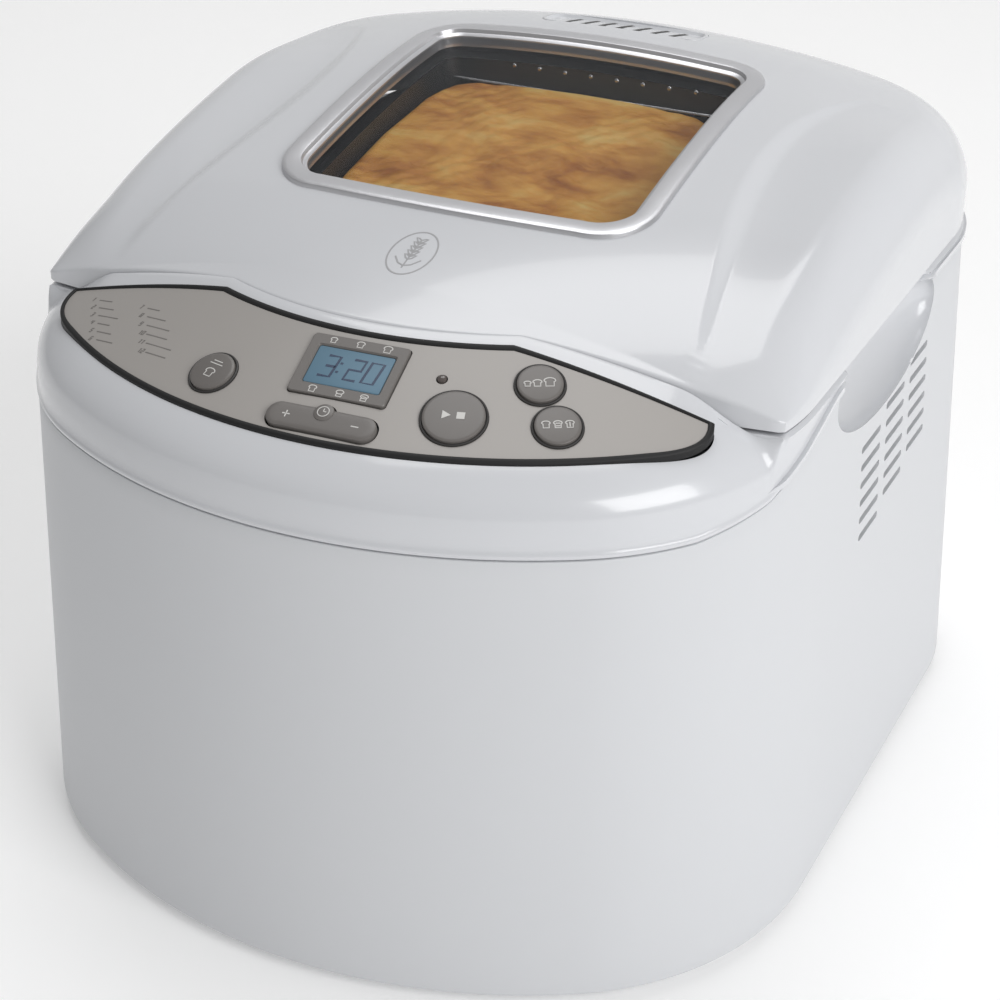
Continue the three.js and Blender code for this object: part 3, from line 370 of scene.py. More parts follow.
def cone_height(x, y):
    """Height of the panel's cone: it rises towards the front arc's axis with the panel's slope."""
    return PANEL_Z + (FRONT_R - np.hypot(x, y - ARC_Y)) * math.tan(SLOPE)


def grip_depth(y, z):
    """How deep the grip's egg cuts in at depth y and height z: its depth times the root of what is
    left of 1 after the squares of the two distances from its middle over its half sizes."""
    depth, long, tall = GRIP["half"]
    left = 1 - ((y - GRIP["y"]) / long) ** 2 - ((z - GRIP["z"]) / tall) ** 2
    return depth * np.sqrt(np.clip(left, 0, 1))


def collar_shell():
    """A profile carried round the plan. It rises from a proud lip to a shoulder of height
    184 + 5.15 t^0.44 at t mm in, meets the cone, runs up it to the lid's edge, drops to the deck
    and goes in to the oven's mouth. Behind the wings the shoulder shrinks and only the deck is left."""
    wall_x, wall_y = plan_point(wall_inset(185))
    low, high = np.zeros_like(wall_x), np.full_like(wall_x, 110.0)
    for _ in range(40):
        t = (low + high) / 2
        x, y = plan_point(wall_inset(LEAN_Z) + t)
        ahead = (y < seam_line(x) - GAP) & (wall_y < -60)
        low, high = np.where(ahead, t, low), np.where(ahead, high, t)
    deep = low
    console = ease(deep, 0.2, 14.2)
    seam = seam_height(wall_y) + GAP
    rows = []

    def ring(inset, z):
        x, y = plan_point(inset)
        x, y = plan_point(inset + grip_depth(y, z) * (np.abs(x) > 100))
        rows.append(np.stack([x, y, z + 0 * x], 1))

    for inset, rise in ((2.2, 5.0), (2.2, 0.4), (1.4, 0.0), (0.3, 0.0), (-0.35, 0.35), (-0.6, 1.0),
                        (-0.6, 1.8), (-0.35, 2.8), (0, 4.5)):
        z = seam + np.minimum(rise, 0.45 * rise + 0.9)
        ring(wall_inset(z) + inset * (0.35 + 0.65 * console), z)
    top_z = SHOULDER_Z * console + (DECK_Z - 1.0) * (1 - console)
    for share in (0.35, 0.7, 1.0):
        z = seam + 3.0 + (top_z - seam - 3.0) * share
        ring(wall_inset(np.minimum(z, LEAN_Z)), z)
    base = wall_inset(LEAN_Z)
    for share in np.linspace(0.02, 1, 60) ** 1.7:
        t = deep * share
        x, y = plan_point(base + t)
        shoulder = SHOULDER_Z + 5.15 * np.maximum(t, 1e-6) ** 0.44 + 0.35 * np.maximum(t - 16, 0)
        z = soft_least(shoulder, cone_height(x, y), 1.2)
        edge = np.minimum((deep - t) / 0.5, 1)
        z = z - 0.4 * (1 - np.sqrt(1 - (1 - edge) ** 2))
        deck = DECK_Z - 1 + np.sqrt(np.clip(1 - (1 - np.clip(t, 0, 1)) ** 2, 0, 1))
        ring(base + t, z * console + deck * (1 - console))
    for inset, z in ((0.0, DECK_Z + 6), (0.0, DECK_Z + 0.6), (0.6, DECK_Z)):
        rim = rows[-1][:, 2]
        ring(base + deep + inset + 1.4 * (1 - console), np.where(console > 0.02,
             np.minimum(z, np.maximum(rim - 0.2, DECK_Z)), DECK_Z))
    last = rows[-1]
    to_x, to_y = last[:, 0], last[:, 1] - OVEN_Y
    scale = np.minimum(MOUTH_X / np.maximum(np.abs(to_x), 1e-6), MOUTH_Y / np.maximum(np.abs(to_y), 1e-6))
    for share in (0.3, 0.65, 1.0):
        pull = 1 + (scale - 1) * share
        rows.append(np.stack([to_x * pull, OVEN_Y + to_y * pull, np.full_like(to_x, DECK_Z)], 1))
    return skin("collar_skin", rows)


PANEL_LOW_R, PANEL_LOW_TURN = 175.8, math.radians(37)
PANEL_HIGH_R, PANEL_HIGH_TURN = 136.9, math.radians(23)
PANEL_TIP = (117.5, -97.5)
PANEL_TIP_PULL = (121.5, -106.5)


def fascia_paths(grow, count=90):
    """The panel's lower and upper edges in plan, left to right: a low arc that turns up into each
    tip with a quadratic curve, and a high arc with straight runs to the same tips."""
    tip = np.array([PANEL_TIP[0] + grow, PANEL_TIP[1] + grow * 0.5])
    pull = np.array([PANEL_TIP_PULL[0] + grow, PANEL_TIP_PULL[1]])
    s = np.linspace(0, 1, 26)[1:, None]
    a, r = np.linspace(-PANEL_LOW_TURN, PANEL_LOW_TURN, count), PANEL_LOW_R + grow
    low = np.stack([r * np.sin(a), ARC_Y - r * np.cos(a)], 1)
    bend = (1 - s) ** 2 * low[-1] + 2 * s * (1 - s) * pull + s ** 2 * tip
    low = np.concatenate([(bend * [-1, 1])[::-1], low, bend])
    a, r = np.linspace(-PANEL_HIGH_TURN, PANEL_HIGH_TURN, count), PANEL_HIGH_R - grow
    high = np.stack([r * np.sin(a), ARC_Y - r * np.cos(a)], 1)
    run = high[-1] + (tip - high[-1]) * s
    high = np.concatenate([(run * [-1, 1])[::-1], high, run])
    return low, high


def fascia_ring(grow):
    """The panel's whole outline in plan: along the lower edge, then back along the upper one."""
    low, high = fascia_paths(grow)
    return np.concatenate([low, high[1:-1][::-1]])


GLOSS_WHITE = moulded_plastic("gloss_white_plastic", (0.62, 0.63, 0.655), 0.2, 2.5, 0.008, coat=0.35)
collar = collar_shell()
modified(collar, "SOLIDIFY", thickness=2.2 * MM, offset=-1)
panel_tool = column("panel_tool", fascia_ring(1.9), (150.0, 260.0))
cut_out(collar, panel_tool)


def grip_bowl(side):
    """A finger hollow under the collar: rings of the half egg from its outside's deepest point to the
    rim just behind the wall's face, then back along its inside."""
    ring = np.linspace(0, 2 * math.pi, 120, endpoint=False)
    depth, long, tall = GRIP["half"]
    rows = []
    for grow, order in ((2.4, -1), (0.0, 1)):
        part = []
        for tilt in np.linspace(0.0, math.pi / 2 - 1e-3, 26):
            y = GRIP["y"] + (long + grow) * math.cos(tilt) * np.cos(ring)
            z = GRIP["z"] + (tall + grow) * math.cos(tilt) * np.sin(ring)
            x = side_face(y, z) - 0.5 - (depth - 0.5 + grow) * math.sin(tilt)
            part.append(np.stack([side * x, y, z], 1))
        rows += part[::order]
    bowl = skin(f"grip_bowl_{'left' if side < 0 else 'right'}", rows, caps=True)
    x0, x1 = sorted((side * 110, side * 170))
    above = column("bowl_tool", rounded_box(x0, x1, -70, 100, 2), (seam_height(0) + 0.9, 230.0))
    return cut_out(bowl, above)


for side in (-1, 1):
    fitted(grip_bowl(side), GLOSS_WHITE, "casing")
fitted(collar, GLOSS_WHITE, "casing", "upper_collar")

# ------------------------------------------------------------------ control panel
# A satin taupe sheet on the console's cone, with holes for the keys and the display. A black
# rubber gasket fills the joint round it, and pale legends are printed on it.
FASCIA_T = 2.0


def on_cone(x, y, above):
    """Points on the panel's cone over plan points, raised by a height measured straight up."""
    return np.stack([x, y, cone_height(x, y) + above], -1)


def panel_frame(turn, radius):
    """Origin and three axes of a flat spot on the cone, at a facing in degrees and a plan radius:
    across to the right, up the slope, and out along the cone's normal."""
    a = math.radians(turn)
    out = np.array([math.sin(a) * math.sin(SLOPE), -math.cos(a) * math.sin(SLOPE), math.cos(SLOPE)])
    across = np.array([math.cos(a), math.sin(a), 0.0])
    origin = np.array([radius * math.sin(a), ARC_Y - radius * math.cos(a),
                       PANEL_Z + (FRONT_R - radius) * math.tan(SLOPE)])
    return origin, np.stack([across, np.cross(out, across), out])


def on_panel(points, turn, radius):
    """Carries local points of a flat spot into the part's frame: origin plus each axis in turn."""
    origin, axes = panel_frame(turn, radius)
    return origin + np.asarray(points, float) @ axes


def lathe(name, profile, turn, radius, sides=64, closed=False):
    """A profile of (radius, height) pairs turned about the normal of a flat spot on the panel."""
    a = np.linspace(0, 2 * math.pi, sides, endpoint=False)
    rows = [on_panel(np.stack([r * np.cos(a), r * np.sin(a), h + 0 * a], 1), turn, radius)
            for r, h in profile]
    return skin(name, rows, closed=closed, caps=not closed)


KEYS = {"menu_button": (-13.4, 163.6, 8.2), "start_button": (16.7, 162.4, 10.5),
        "size_button": (26.3, 149.7, 7.9), "crust_button": (28.0, 164.8, 7.9)}
LCD = (2.7, 149.9)
ROCKER = (2.5, 169.8)
LED = (14.4, 148.7)

low_edge, high_edge = fascia_paths(0)
share = np.linspace(0, 1, 40)[:, None, None]
plan_grid = low_edge[None] * (1 - share) + high_edge[None] * share
top = on_cone(plan_grid[..., 0], plan_grid[..., 1], 0.0)
bottom = on_cone(plan_grid[..., 0], plan_grid[..., 1], -FASCIA_T)
sheet_rows = np.concatenate([top, bottom[:, ::-1]], 1)
count = top.shape[1]
mesh = bpy.data.meshes.new("fascia_sheet")
width = 2 * count
i, j = np.meshgrid(np.arange(39), np.arange(width), indexing="ij")
quads = np.stack([i * width + j, i * width + (j + 1) % width, (i + 1) * width + (j + 1) % width,
                  (i + 1) * width + j], -1).reshape(-1, 4)
k = np.arange(count - 1)
rims = [r * width + np.stack([k, k + 1, width - 2 - k, width - 1 - k], 1) for r in (0, 39)]
mesh.from_pydata((sheet_rows.reshape(-1, 3) * MM).tolist(), [],
                 np.concatenate([quads, *rims]).tolist())
fascia = finished(bpy.data.objects.new("fascia_sheet", mesh))
tools = [lathe(f"key_hole_{name}", [(r + 0.5, -12), (r + 0.5, 12)], turn, radius)
         for name, (turn, radius, r) in KEYS.items()]
tools.append(lathe("led_hole", [(1.9, -12), (1.9, 12)], *LED, sides=32))
tools.append(skin("lcd_hole", [on_panel(np.column_stack([rounded_box(-17.3, 17.3, -12.5, 12.5, 1.5),
             np.full(28, h)]), *LCD) for h in (-12, 12)], caps=True))
tools.append(skin("rocker_hole", [on_panel(np.column_stack([rounded_box(-19.4, 19.4, -5.3, 5.3, 5.0),
             np.full(28, h)]), *ROCKER) for h in (-12, 12)], caps=True))
a = np.linspace(0, 2 * math.pi, 40, endpoint=False)
bump = np.stack([4.0 * np.cos(a), 3 + 4.0 * np.sin(a)], 1)
tools.append(skin("bump_hole", [on_panel(np.column_stack([bump, np.full(40, h)]), *ROCKER)
                                for h in (-11, 11)], caps=True))
cut_out(fascia, *tools)
TAUPE = moulded_plastic("taupe_panel_lacquer", (0.36, 0.34, 0.322), 0.38, 0.35, 0.012, age=0.03)
fitted(fascia, TAUPE, "casing", "control_fascia")

rows = []
for grow, above in ((0.1, -2.0), (0.05, 0.3), (0.4, 0.6), (0.95, 0.7), (1.5, 0.6), (1.85, 0.3),
                    (1.8, -2.0)):
    ring = fascia_ring(grow)
    rows.append(on_cone(ring[:, 0], ring[:, 1], above))
gasket = skin("panel_gasket", rows, closed=True)
BLACK_RUBBER = moulded_plastic("black_rubber", (0.006, 0.006, 0.0065), 0.6, 0.5, 0.03, age=0.3)
fitted(gasket, BLACK_RUBBER, "casing", "fascia_gasket")


def strokes(name, lines, width, height, place, base=0.0):
    """Raised printed lines: each path gets a rectangular section of this width and height, its
    sides set off half a width along the path's normals. place carries local points into the frame.
    A path whose ends meet is a loop; width may be a pair, and then it tapers from end to end."""
    verts, faces = [], []
    for path in lines:
        path = np.asarray(path, float)
        loop = np.allclose(path[0], path[-1])
        if loop:
            path = path[:-1]
            ahead, behind = np.roll(path, -1, 0), np.roll(path, 1, 0)
        else:
            ahead = np.concatenate([path[1:], path[-1:]])
            behind = np.concatenate([path[:1], path[:-1]])
        run = ahead - behind
        run /= np.maximum(np.linalg.norm(run, axis=1, keepdims=True), 1e-9)
        normal = np.stack([-run[:, 1], run[:, 0]], 1)
        w = np.linspace(*width, len(path))[:, None] / 2 if np.ndim(width) else width / 2
        left, right = path + normal * w, path - normal * w
        n = len(path)
        section = np.concatenate([np.column_stack([p, np.full(n, h)]) for p, h in
                                  ((left, base), (left, base + height), (right, base + height),
                                   (right, base))])
        start = sum(len(v) for v in verts)
        verts.append(place(section))
        k = np.arange(n if loop else n - 1)
        nxt = (k + 1) % n
        for s in range(4):
            e = (s + 1) % 4
            faces += (start + np.stack([s * n + k, s * n + nxt, e * n + nxt, e * n + k], 1)).tolist()
        if not loop:
            faces.append([start, start + n, start + 2 * n, start + 3 * n])
            faces.append([start + 4 * n - 1, start + 3 * n - 1, start + 2 * n - 1, start + n - 1])
    mesh = bpy.data.meshes.new(name)
    mesh.from_pydata((np.concatenate(verts) * MM).tolist(), [], faces)
    return finished(bpy.data.objects.new(name, mesh))


def arc_path(cx, cy, r, start, stop, count=24, squeeze=1.0):
    """Points of an arc in degrees, its height squeezed by a factor."""
    a = np.radians(np.linspace(start, stop, count))
    return np.stack([cx + r * np.cos(a), cy + squeeze * r * np.sin(a)], 1)


def loaf_icon(cx, cy, w, h):
    """The outline of a tin loaf: straight foot and sides, and a bulging top wider than the sides."""
    return np.concatenate([[(cx - w * 0.36, cy - h / 2), (cx + w * 0.36, cy - h / 2)],
                           [(cx + w * 0.36, cy + h * 0.08)],
                           arc_path(cx, cy + h * 0.22, w / 2, -20, 200, 16, 0.6),
                           [(cx - w * 0.36, cy + h * 0.08), (cx - w * 0.36, cy - h / 2)]])


PRINT_WHITE = moulded_plastic("pale_legend_ink", (0.62, 0.61, 0.59), 0.5, 0.4, 0.01, age=0.06)
PRINT_GREY = moulded_plastic("grey_legend_ink", (0.19, 0.18, 0.17), 0.55, 0.4, 0.01, age=0.1)


def printed(name, lines, width, spot, body="casing", base=0.02, ink=PRINT_WHITE, height=0.07):
    """A legend on a flat spot of the panel or on a key: raised strokes that ride with its body."""
    mark = strokes(name, lines, width, height, lambda p: on_panel(p, *spot), base)
    fitted(mark, ink, body)
    return mark


# The list of programmes at the panel's left: numerals one to twelve, each with a short rule.
DIGITS = {"0": [[(0, 0), (1, 0), (1, 2), (0, 2), (0, 0)]], "1": [[(0.2, 1.6), (0.6, 2), (0.6, 0)]],
          "2": [[(0, 2), (1, 2), (1, 1), (0, 1), (0, 0), (1, 0)]],
          "3": [[(0, 2), (1, 2), (1, 0), (0, 0)], [(0.2, 1), (1, 1)]],
          "4": [[(0, 2), (0, 1), (1, 1)], [(1, 2), (1, 0)]],
          "5": [[(1, 2), (0, 2), (0, 1), (1, 1), (1, 0), (0, 0)]],
          "6": [[(1, 2), (0, 2), (0, 0), (1, 0), (1, 1), (0, 1)]],
          "7": [[(0, 2), (1, 2), (0.4, 0)]],
          "8": [[(0, 0), (1, 0), (1, 2), (0, 2), (0, 0)], [(0, 1), (1, 1)]],
          "9": [[(1, 1), (0, 1), (0, 2), (1, 2), (1, 0), (0, 0)]]}


def figures(text, x, y, size, lean=0.12, gap=0.62):
    """Stroke paths of numerals from left to right, each two units high, leaning a little."""
    paths = []
    for letter in text:
        for path in DIGITS[letter]:
            p = np.asarray(path, float) * [size * 0.5, size * 0.5]
            p[:, 0] += x + p[:, 1] * lean
            p[:, 1] += y
            paths.append(p)
        x += size * gap + size * 0.18
    return paths


def list_place(points):
    """Lays the flat list on the cone with its lines across, turned a little, from the panel's left tip."""
    turn = math.radians(-15)
    x = -106.5 + points[:, 0] * math.cos(turn) - points[:, 1] * math.sin(turn)
    y = -103.4 + (points[:, 0] * math.sin(turn) + points[:, 1] * math.cos(turn)) * math.cos(SLOPE)
    return on_cone(x, y, points[:, 2])


legend = []
lengths = [6.5, 7.5, 10, 6, 7, 8, 6, 9, 11, 10, 12, 9.5]
for number in range(12):
    col, row = divmod(number, 6)
    x, y = 3.3 * row + 24.5 * col, -3.55 * row
    legend += figures(str(number + 1), x, y - 0.75, 1.7)
    legend.append([(x + 3.4, y), (x + 3.4 + lengths[number], y)])
programmes = strokes("programme_list", legend, 0.42, 0.07, list_place, 0.02)
fitted(programmes, PRINT_GREY, "casing")

# ------------------------------------------------------------------ keys and rocker
# Round push keys of warm grey ABS with a moulded edge, each in a dark surround, and one long rocker
# for the time. Their symbols are printed: play and stop, loaf sizes, crust shades, plus and minus.
KEY_GREY = moulded_plastic("key_grey_plastic", (0.15, 0.139, 0.131), 0.36, 0.6, 0.015, age=0.05)
DARK_RING = moulded_plastic("dark_surround_plastic", (0.035, 0.033, 0.032), 0.5, 0.6, 0.01, age=0.1)
for name, (turn, radius, r) in KEYS.items():
    cap = [(0.01, -3), (r - 0.55, -3), (r - 0.5, 0.9), (r - 0.62, 1.25), (r - 1.0, 1.45),
           (r - 1.6, 1.5)] + [((r - 1.6) * s, 1.5 + 0.3 * (1 - s * s)) for s in (0.8, 0.55, 0.3, 0.01)]
    key = lathe(f"{name}_cap", cap, turn, radius)
    fitted(key, KEY_GREY, name, name)
    ring = lathe(f"{name}_surround", [(r - 0.3, -2), (r - 0.3, 0.5), (r + 0.05, 0.62),
                                      (r + 0.4, 0.5), (r + 0.45, -2)], turn, radius, closed=True)
    fitted(ring, DARK_RING, "casing")

spot = KEYS["start_button"][:2]
printed("start_symbol", [[(-3.6, 0), (-0.9, 0)]], (3.2, 0.1), spot, "start_button", 1.82)
printed("stop_symbol", [[(1.0, 0), (3.6, 0)]], 2.6, spot, "start_button", 1.82)
spot = KEYS["menu_button"][:2]
printed("menu_symbol", [loaf_icon(0, -1.2, 3.6, 3.0), [(-2.6, 2.6), (2.6, 2.6)], [(-1.8, 3.8), (1.8, 3.8)]],
        0.36, spot, "menu_button", 1.76)
spot = KEYS["size_button"][:2]
printed("size_symbols", [loaf_icon(-4.0, -0.6, 2.2, 1.8), loaf_icon(-0.9, -0.35, 2.8, 2.4),
                         loaf_icon(3.0, 0, 3.6, 3.1)], 0.34, spot, "size_button", 1.74)
spot = KEYS["crust_button"][:2]
printed("crust_symbols", [loaf_icon(-3.7, 0, 2.6, 2.6), loaf_icon(0, 0, 2.6, 2.6),
                          [(-0.7, -0.6), (0.7, -0.6)], [(-0.7, 0.4), (0.7, 0.4)],
                          loaf_icon(3.7, 0, 2.6, 2.6), [(3.7, -1), (3.7, 0.9)]],
        0.34, spot, "crust_button", 1.74)

rings = []
for shrink, above in ((0, -2.6), (0, 0.7), (0.15, 1.0), (0.5, 1.2), (1.6, 1.28), (3.2, 1.3)):
    outline = rounded_box(-18.8 + shrink, 18.8 - shrink, -4.7 + shrink, 4.7 - shrink, 4.5 - shrink, 12)
    rings.append(on_panel(np.column_stack([outline, np.full(len(outline), above)]), *ROCKER))
rocker = skin("rocker_cap", rings, caps=True)
rings = [on_panel(np.stack([r * np.cos(a), 3 + r * np.sin(a), h + 0 * a], 1), *ROCKER)
         for r, h in ((3.4, -2.6), (3.4, 1.2), (3.2, 1.55), (2.6, 1.75), (1.2, 1.85), (0.01, 1.87))]
knob = skin("rocker_bump", rings, caps=True)
for part in (rocker, knob):
    fitted(part, KEY_GREY, "timer_rocker")
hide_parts("timer_rocker")
printed("rocker_symbols", [[(-13.2, 0), (-10.6, 0)], [(-11.9, -1.3), (-11.9, 1.3)], [(10.6, 0), (13.2, 0)]],
        0.42, ROCKER, "timer_rocker", 1.3)
printed("clock_symbol", [arc_path(0, 3, 1.9, 0, 360, 30), [(0, 3), (0, 4.2)], [(0, 3), (1.0, 3)]],
        0.3, ROCKER, "timer_rocker", 1.88)

# ------------------------------------------------------------------ display
# A dark moulded bezel round a liquid crystal cell. The cell is lit a soft grey blue, and its
# figures are darker segments with a slight lean. Small symbols are printed above and below it.
def bezel_ring(half_w, half_h, r, above):
    """One rounded rectangle of the bezel's profile on the panel."""
    outline = rounded_box(-half_w, half_w, -half_h, half_h, r, 8)
    return on_panel(np.column_stack([outline, np.full(len(outline), above)]), *LCD)


bezel = skin("display_bezel", [
    bezel_ring(17, 12.2, 1.4, -4), bezel_ring(17, 12.2, 1.4, 0.5), bezel_ring(16.7, 11.9, 1.3, 0.8),
    bezel_ring(14.0, 8.2, 0.9, 0.8), bezel_ring(13.5, 7.7, 0.8, 0.35), bezel_ring(13.5, 7.7, 0.8, -4)],
    closed=True)
fitted(bezel, KEY_GREY, "casing", "lcd_bezel")
cell = skin("display_cell", [bezel_ring(13.3, 7.5, 0.7, -3.4), bezel_ring(13.3, 7.5, 0.7, 0.25),
                             bezel_ring(13.1, 7.3, 0.6, 0.35)], caps=True)
CELL = moulded_plastic("display_cell_glow", (0.085, 0.155, 0.215), 0.5, 0.25, 0.002, coat=0.0, age=0.05)
CELL.node_tree.nodes["Principled BSDF"].inputs["Emission Color"].default_value = (0.16, 0.34, 0.46, 1)
CELL.node_tree.nodes["Principled BSDF"].inputs["Emission Strength"].default_value = 0.12
fitted(cell, CELL, "casing", "lcd_module")
SEGMENT = moulded_plastic("dark_segments", (0.02, 0.04, 0.09), 0.25, 0.5, 0.002, age=0.1)
digits = figures("3", -9.6, -4.2, 8.4) + figures("20", -0.6, -4.2, 8.4, gap=0.56)
digits += [[(-3.35, 1.4), (-3.25, 2.2)], [(-3.75, -2.2), (-3.65, -1.4)]]
printed("display_figures", digits, 0.95, LCD, base=0.36, ink=SEGMENT, height=0.05)
above_cell = [loaf_icon(x, 10, w, h) for x, w, h in ((-9.5, 2.2, 2.0), (0.0, 2.6, 2.2), (9.5, 3.0, 2.4))]
below_cell = [loaf_icon(-8.5, -10.2, 2.6, 2.4), loaf_icon(1.0, -10.2, 2.6, 2.4),
              [(0.2, -10.4), (1.8, -10.4)], loaf_icon(9.5, -10.2, 2.6, 2.4),
              [(8.7, -10.4), (10.3, -10.4)], [(8.8, -9.8), (10.2, -9.8)]]
printed("display_symbols", above_cell + below_cell, 0.34, LCD, base=0.82)
lamp = lathe("status_lamp", [(1.5, -4), (1.5, 0.3), (1.35, 0.6), (0.9, 0.85), (0.01, 0.95)], *LED, sides=32)
LAMP = moulded_plastic("unlit_lamp_lens", (0.09, 0.075, 0.07), 0.15, 0.8, 0.004, coat=0.5)
fitted(lamp, LAMP, "casing", "status_led")

# ------------------------------------------------------------------ lid
# One gloss white moulding: a hood that falls from a crown near the back to the panel, with tall
# rounded shoulders, a shallow step beside each wing, the window's opening and a vent recess.
LID_Z = 199.6
CROWN_Z, CROWN_Y = 254.8, 105.0
LID_EDGE = wall_inset(LID_Z)
HINGE_Y, HINGE_Z = 160.0, 204.5
WINDOW = {"half": 72.0, "y0": -46.0, "y1": 95.0, "bow": 3.0, "front": 22.0, "rear": 17.0}


def plan_depth(x, y):
    """Distance inside the plan's outline: the least of those to the front arc, the side line, the
    back line, and to each corner arc where the point faces it."""
    x = np.abs(x)
    front = FRONT_R - np.hypot(x, y - ARC_Y)
    side = SIDE_D - (x * math.cos(TURN) - (y - ARC_Y) * math.sin(TURN))
    back = DEPTH / 2 - y
    face = np.arctan2(x - CORNER_X, -(y - CORNER_Y))
    corner = np.where((face > FRONT_END) & (face < SIDE_FACING),
                      CORNER_R - np.hypot(x - CORNER_X, y - CORNER_Y), 999.0)
    rear = np.where((x > REAR_X) & (y > REAR_Y), REAR_R - np.hypot(x - REAR_X, y - REAR_Y), 999.0)
    return np.minimum.reduce([front, side, back, corner, rear])


STEP_Y = [-82, -28, 24, 62, 93]                 # line of the hood's step beside each wing
STEP_X = [106, 94, 88, 92, 104]
STEP_FIT = np.polyfit(STEP_Y, STEP_X, 3)


def lid_top(x, y, detail=True):
    """Height of the lid: the crown less its fall to the front, back and sides, then a quarter round
    of the shoulder's size at the rim. The step drops the wing beside the hood by up to 2.6 mm."""
    fall = np.where(y < CROWN_Y, 0.00217 * np.maximum(CROWN_Y - y, 0) ** 1.8, 0.0045 * (y - CROWN_Y) ** 2)
    nose = 0.0008 * np.exp(-np.maximum(0, y + 88) / 20)
    crown = CROWN_Z - fall - (0.0005 + nose + 0.00045 * ease(y, 40, 120)) * x ** 2
    inset = np.maximum(plan_depth(x, y) - LID_EDGE, 0)
    far = np.maximum(0, 1 - inset / 22)
    drop = np.clip(crown - LID_Z - 3, 1, 22)
    z = crown - drop * (1 - np.sqrt(np.maximum(1 - far ** 2, 0)))
    if detail:
        span = np.clip(1 - ((y - 6) / 92) ** 2, 0, 1)
        beyond = np.abs(x) - np.polyval(STEP_FIT, y)
        wide = 1.2 + 7.5 * span
        step = ease(beyond, 0, wide)
        z = z - 2.6 * span ** 0.8 * step * (1 - ease(beyond, wide, wide + 34)) * (beyond > 0)
    return z


def window_ring(grow, sides=80):
    """The window's outline grown by some mm: straight sides, rounded corners, and a front edge that
    bows forward by a parabola."""
    w = WINDOW
    hw, y0, y1 = w["half"], w["y0"], w["y1"]
    quarter = np.linspace(0, math.pi / 2, 24)

    def corner(cx, cy, r, start):
        a = quarter + math.radians(start)
        return np.stack([cx + (r + grow) * np.cos(a), cy + (r + grow) * np.sin(a)], 1)

    x = np.linspace(-(hw - w["front"]), hw - w["front"], sides)
    bow = w["bow"] * (1 - (x / (hw - w["front"])) ** 2)
    front = np.stack([x, y0 - grow - bow], 1)
    y = np.linspace(y0 + w["front"], y1 - w["rear"], sides)[1:-1]
    x_rear = np.linspace(hw - w["rear"], -hw + w["rear"], sides)[1:-1]
    return np.concatenate([
        corner(-hw + w["front"], y0 + w["front"], w["front"], 180)[:-1], front,
        corner(hw - w["front"], y0 + w["front"], w["front"], -90)[1:],
        np.stack([np.full_like(y, hw + grow), y], 1),
        corner(hw - w["rear"], y1 - w["rear"], w["rear"], 0),
        np.stack([x_rear, np.full_like(x_rear, y1 + grow)], 1),
        corner(-hw + w["rear"], y1 - w["rear"], w["rear"], 90),
        np.stack([np.full_like(y, -hw - grow), y[::-1]], 1)])


def over_lid(ring, above, detail=True):
    """A ring of plan points laid on the lid, raised by some mm."""
    return np.column_stack([ring, lid_top(ring[:, 0], ring[:, 1], detail) + above])


def lid_skin():
    """Rows run from the lid's rim inwards to the window's edge along straight lines in plan. The rim
    is where the plan's outline, drawn in to the lid's wall, meets the front edge's line."""
    inner = window_ring(-6.0)
    middle = np.array([0.0, 24.0])
    ray = inner - middle
    ray /= np.linalg.norm(ray, axis=1, keepdims=True)
    low, high = np.full(len(inner), 30.0), np.full(len(inner), 260.0)

    def inside(p):
        return np.minimum(plan_depth(p[:, 0], p[:, 1]) - LID_EDGE, p[:, 1] - seam_line(p[:, 0]))

    for _ in range(46):
        t = (low + high) / 2
        ahead = inside(middle + ray * t[:, None]) > 0
        low, high = np.where(ahead, t, low), np.where(ahead, high, t)
    rim = middle + ray * low[:, None]
    rows = []
    spread = np.concatenate([[0, 0.0015, 0.004, 0.008, 0.014, 0.022], np.linspace(0.035, 1, 96)])
    for s in spread:
        p = rim + (inner - rim) * s
        z = lid_top(p[:, 0], p[:, 1])
        edge = np.clip((p[:, 1] - seam_line(p[:, 0])) / 0.9, 0, 1)
        z = z - 0.9 * (1 - np.sqrt(1 - (1 - edge) ** 2))
        if not rows:
            for level in np.concatenate([[0.0], np.linspace(0.03, 0.96, 9)]):
                wall = LID_Z + (z - LID_Z) * level
                rows.append(np.column_stack([p, wall]))
        rows.append(np.column_stack([p, z]))
    for down in (0.4, 3.0):
        rows.append(np.column_stack([inner, lid_top(inner[:, 0], inner[:, 1]) - down]))
    return skin("lid_hood", rows)


hood = lid_skin()
modified(hood, "SOLIDIFY", thickness=2.2 * MM, offset=-1)
cut_out(hood, column("recess_tool", rounded_box(-34, 34, 111, 128, 5), (246.0, 262.0)),
        *[column(f"lug_tool_{k}", rounded_box(x - 12.5, x + 12.5, 151, 190, 1), (190.0, HINGE_Z + 9))
          for k, x in enumerate((-52, 52))],
        column("rear_tool", rounded_box(-108, 108, HINGE_Y + 1, 200, 1), (190.0, HINGE_Z + 0.8)))
fitted(hood, GLOSS_WHITE, "lid", "lid_shell")

VENT_MIDDLE = np.array([0.0, 119.5])
VENT_X = -22.5 + 7.5 * np.arange(7)


def vent_ring(inset, above):
    """The recess's outline drawn in by inset, laid on the lid and raised or sunk by some mm."""
    ring = rounded_box(-34 + inset, 34 - inset, 111 + inset, 128 - inset, 5 - 0.6 * inset)
    return over_lid(ring, above, False)


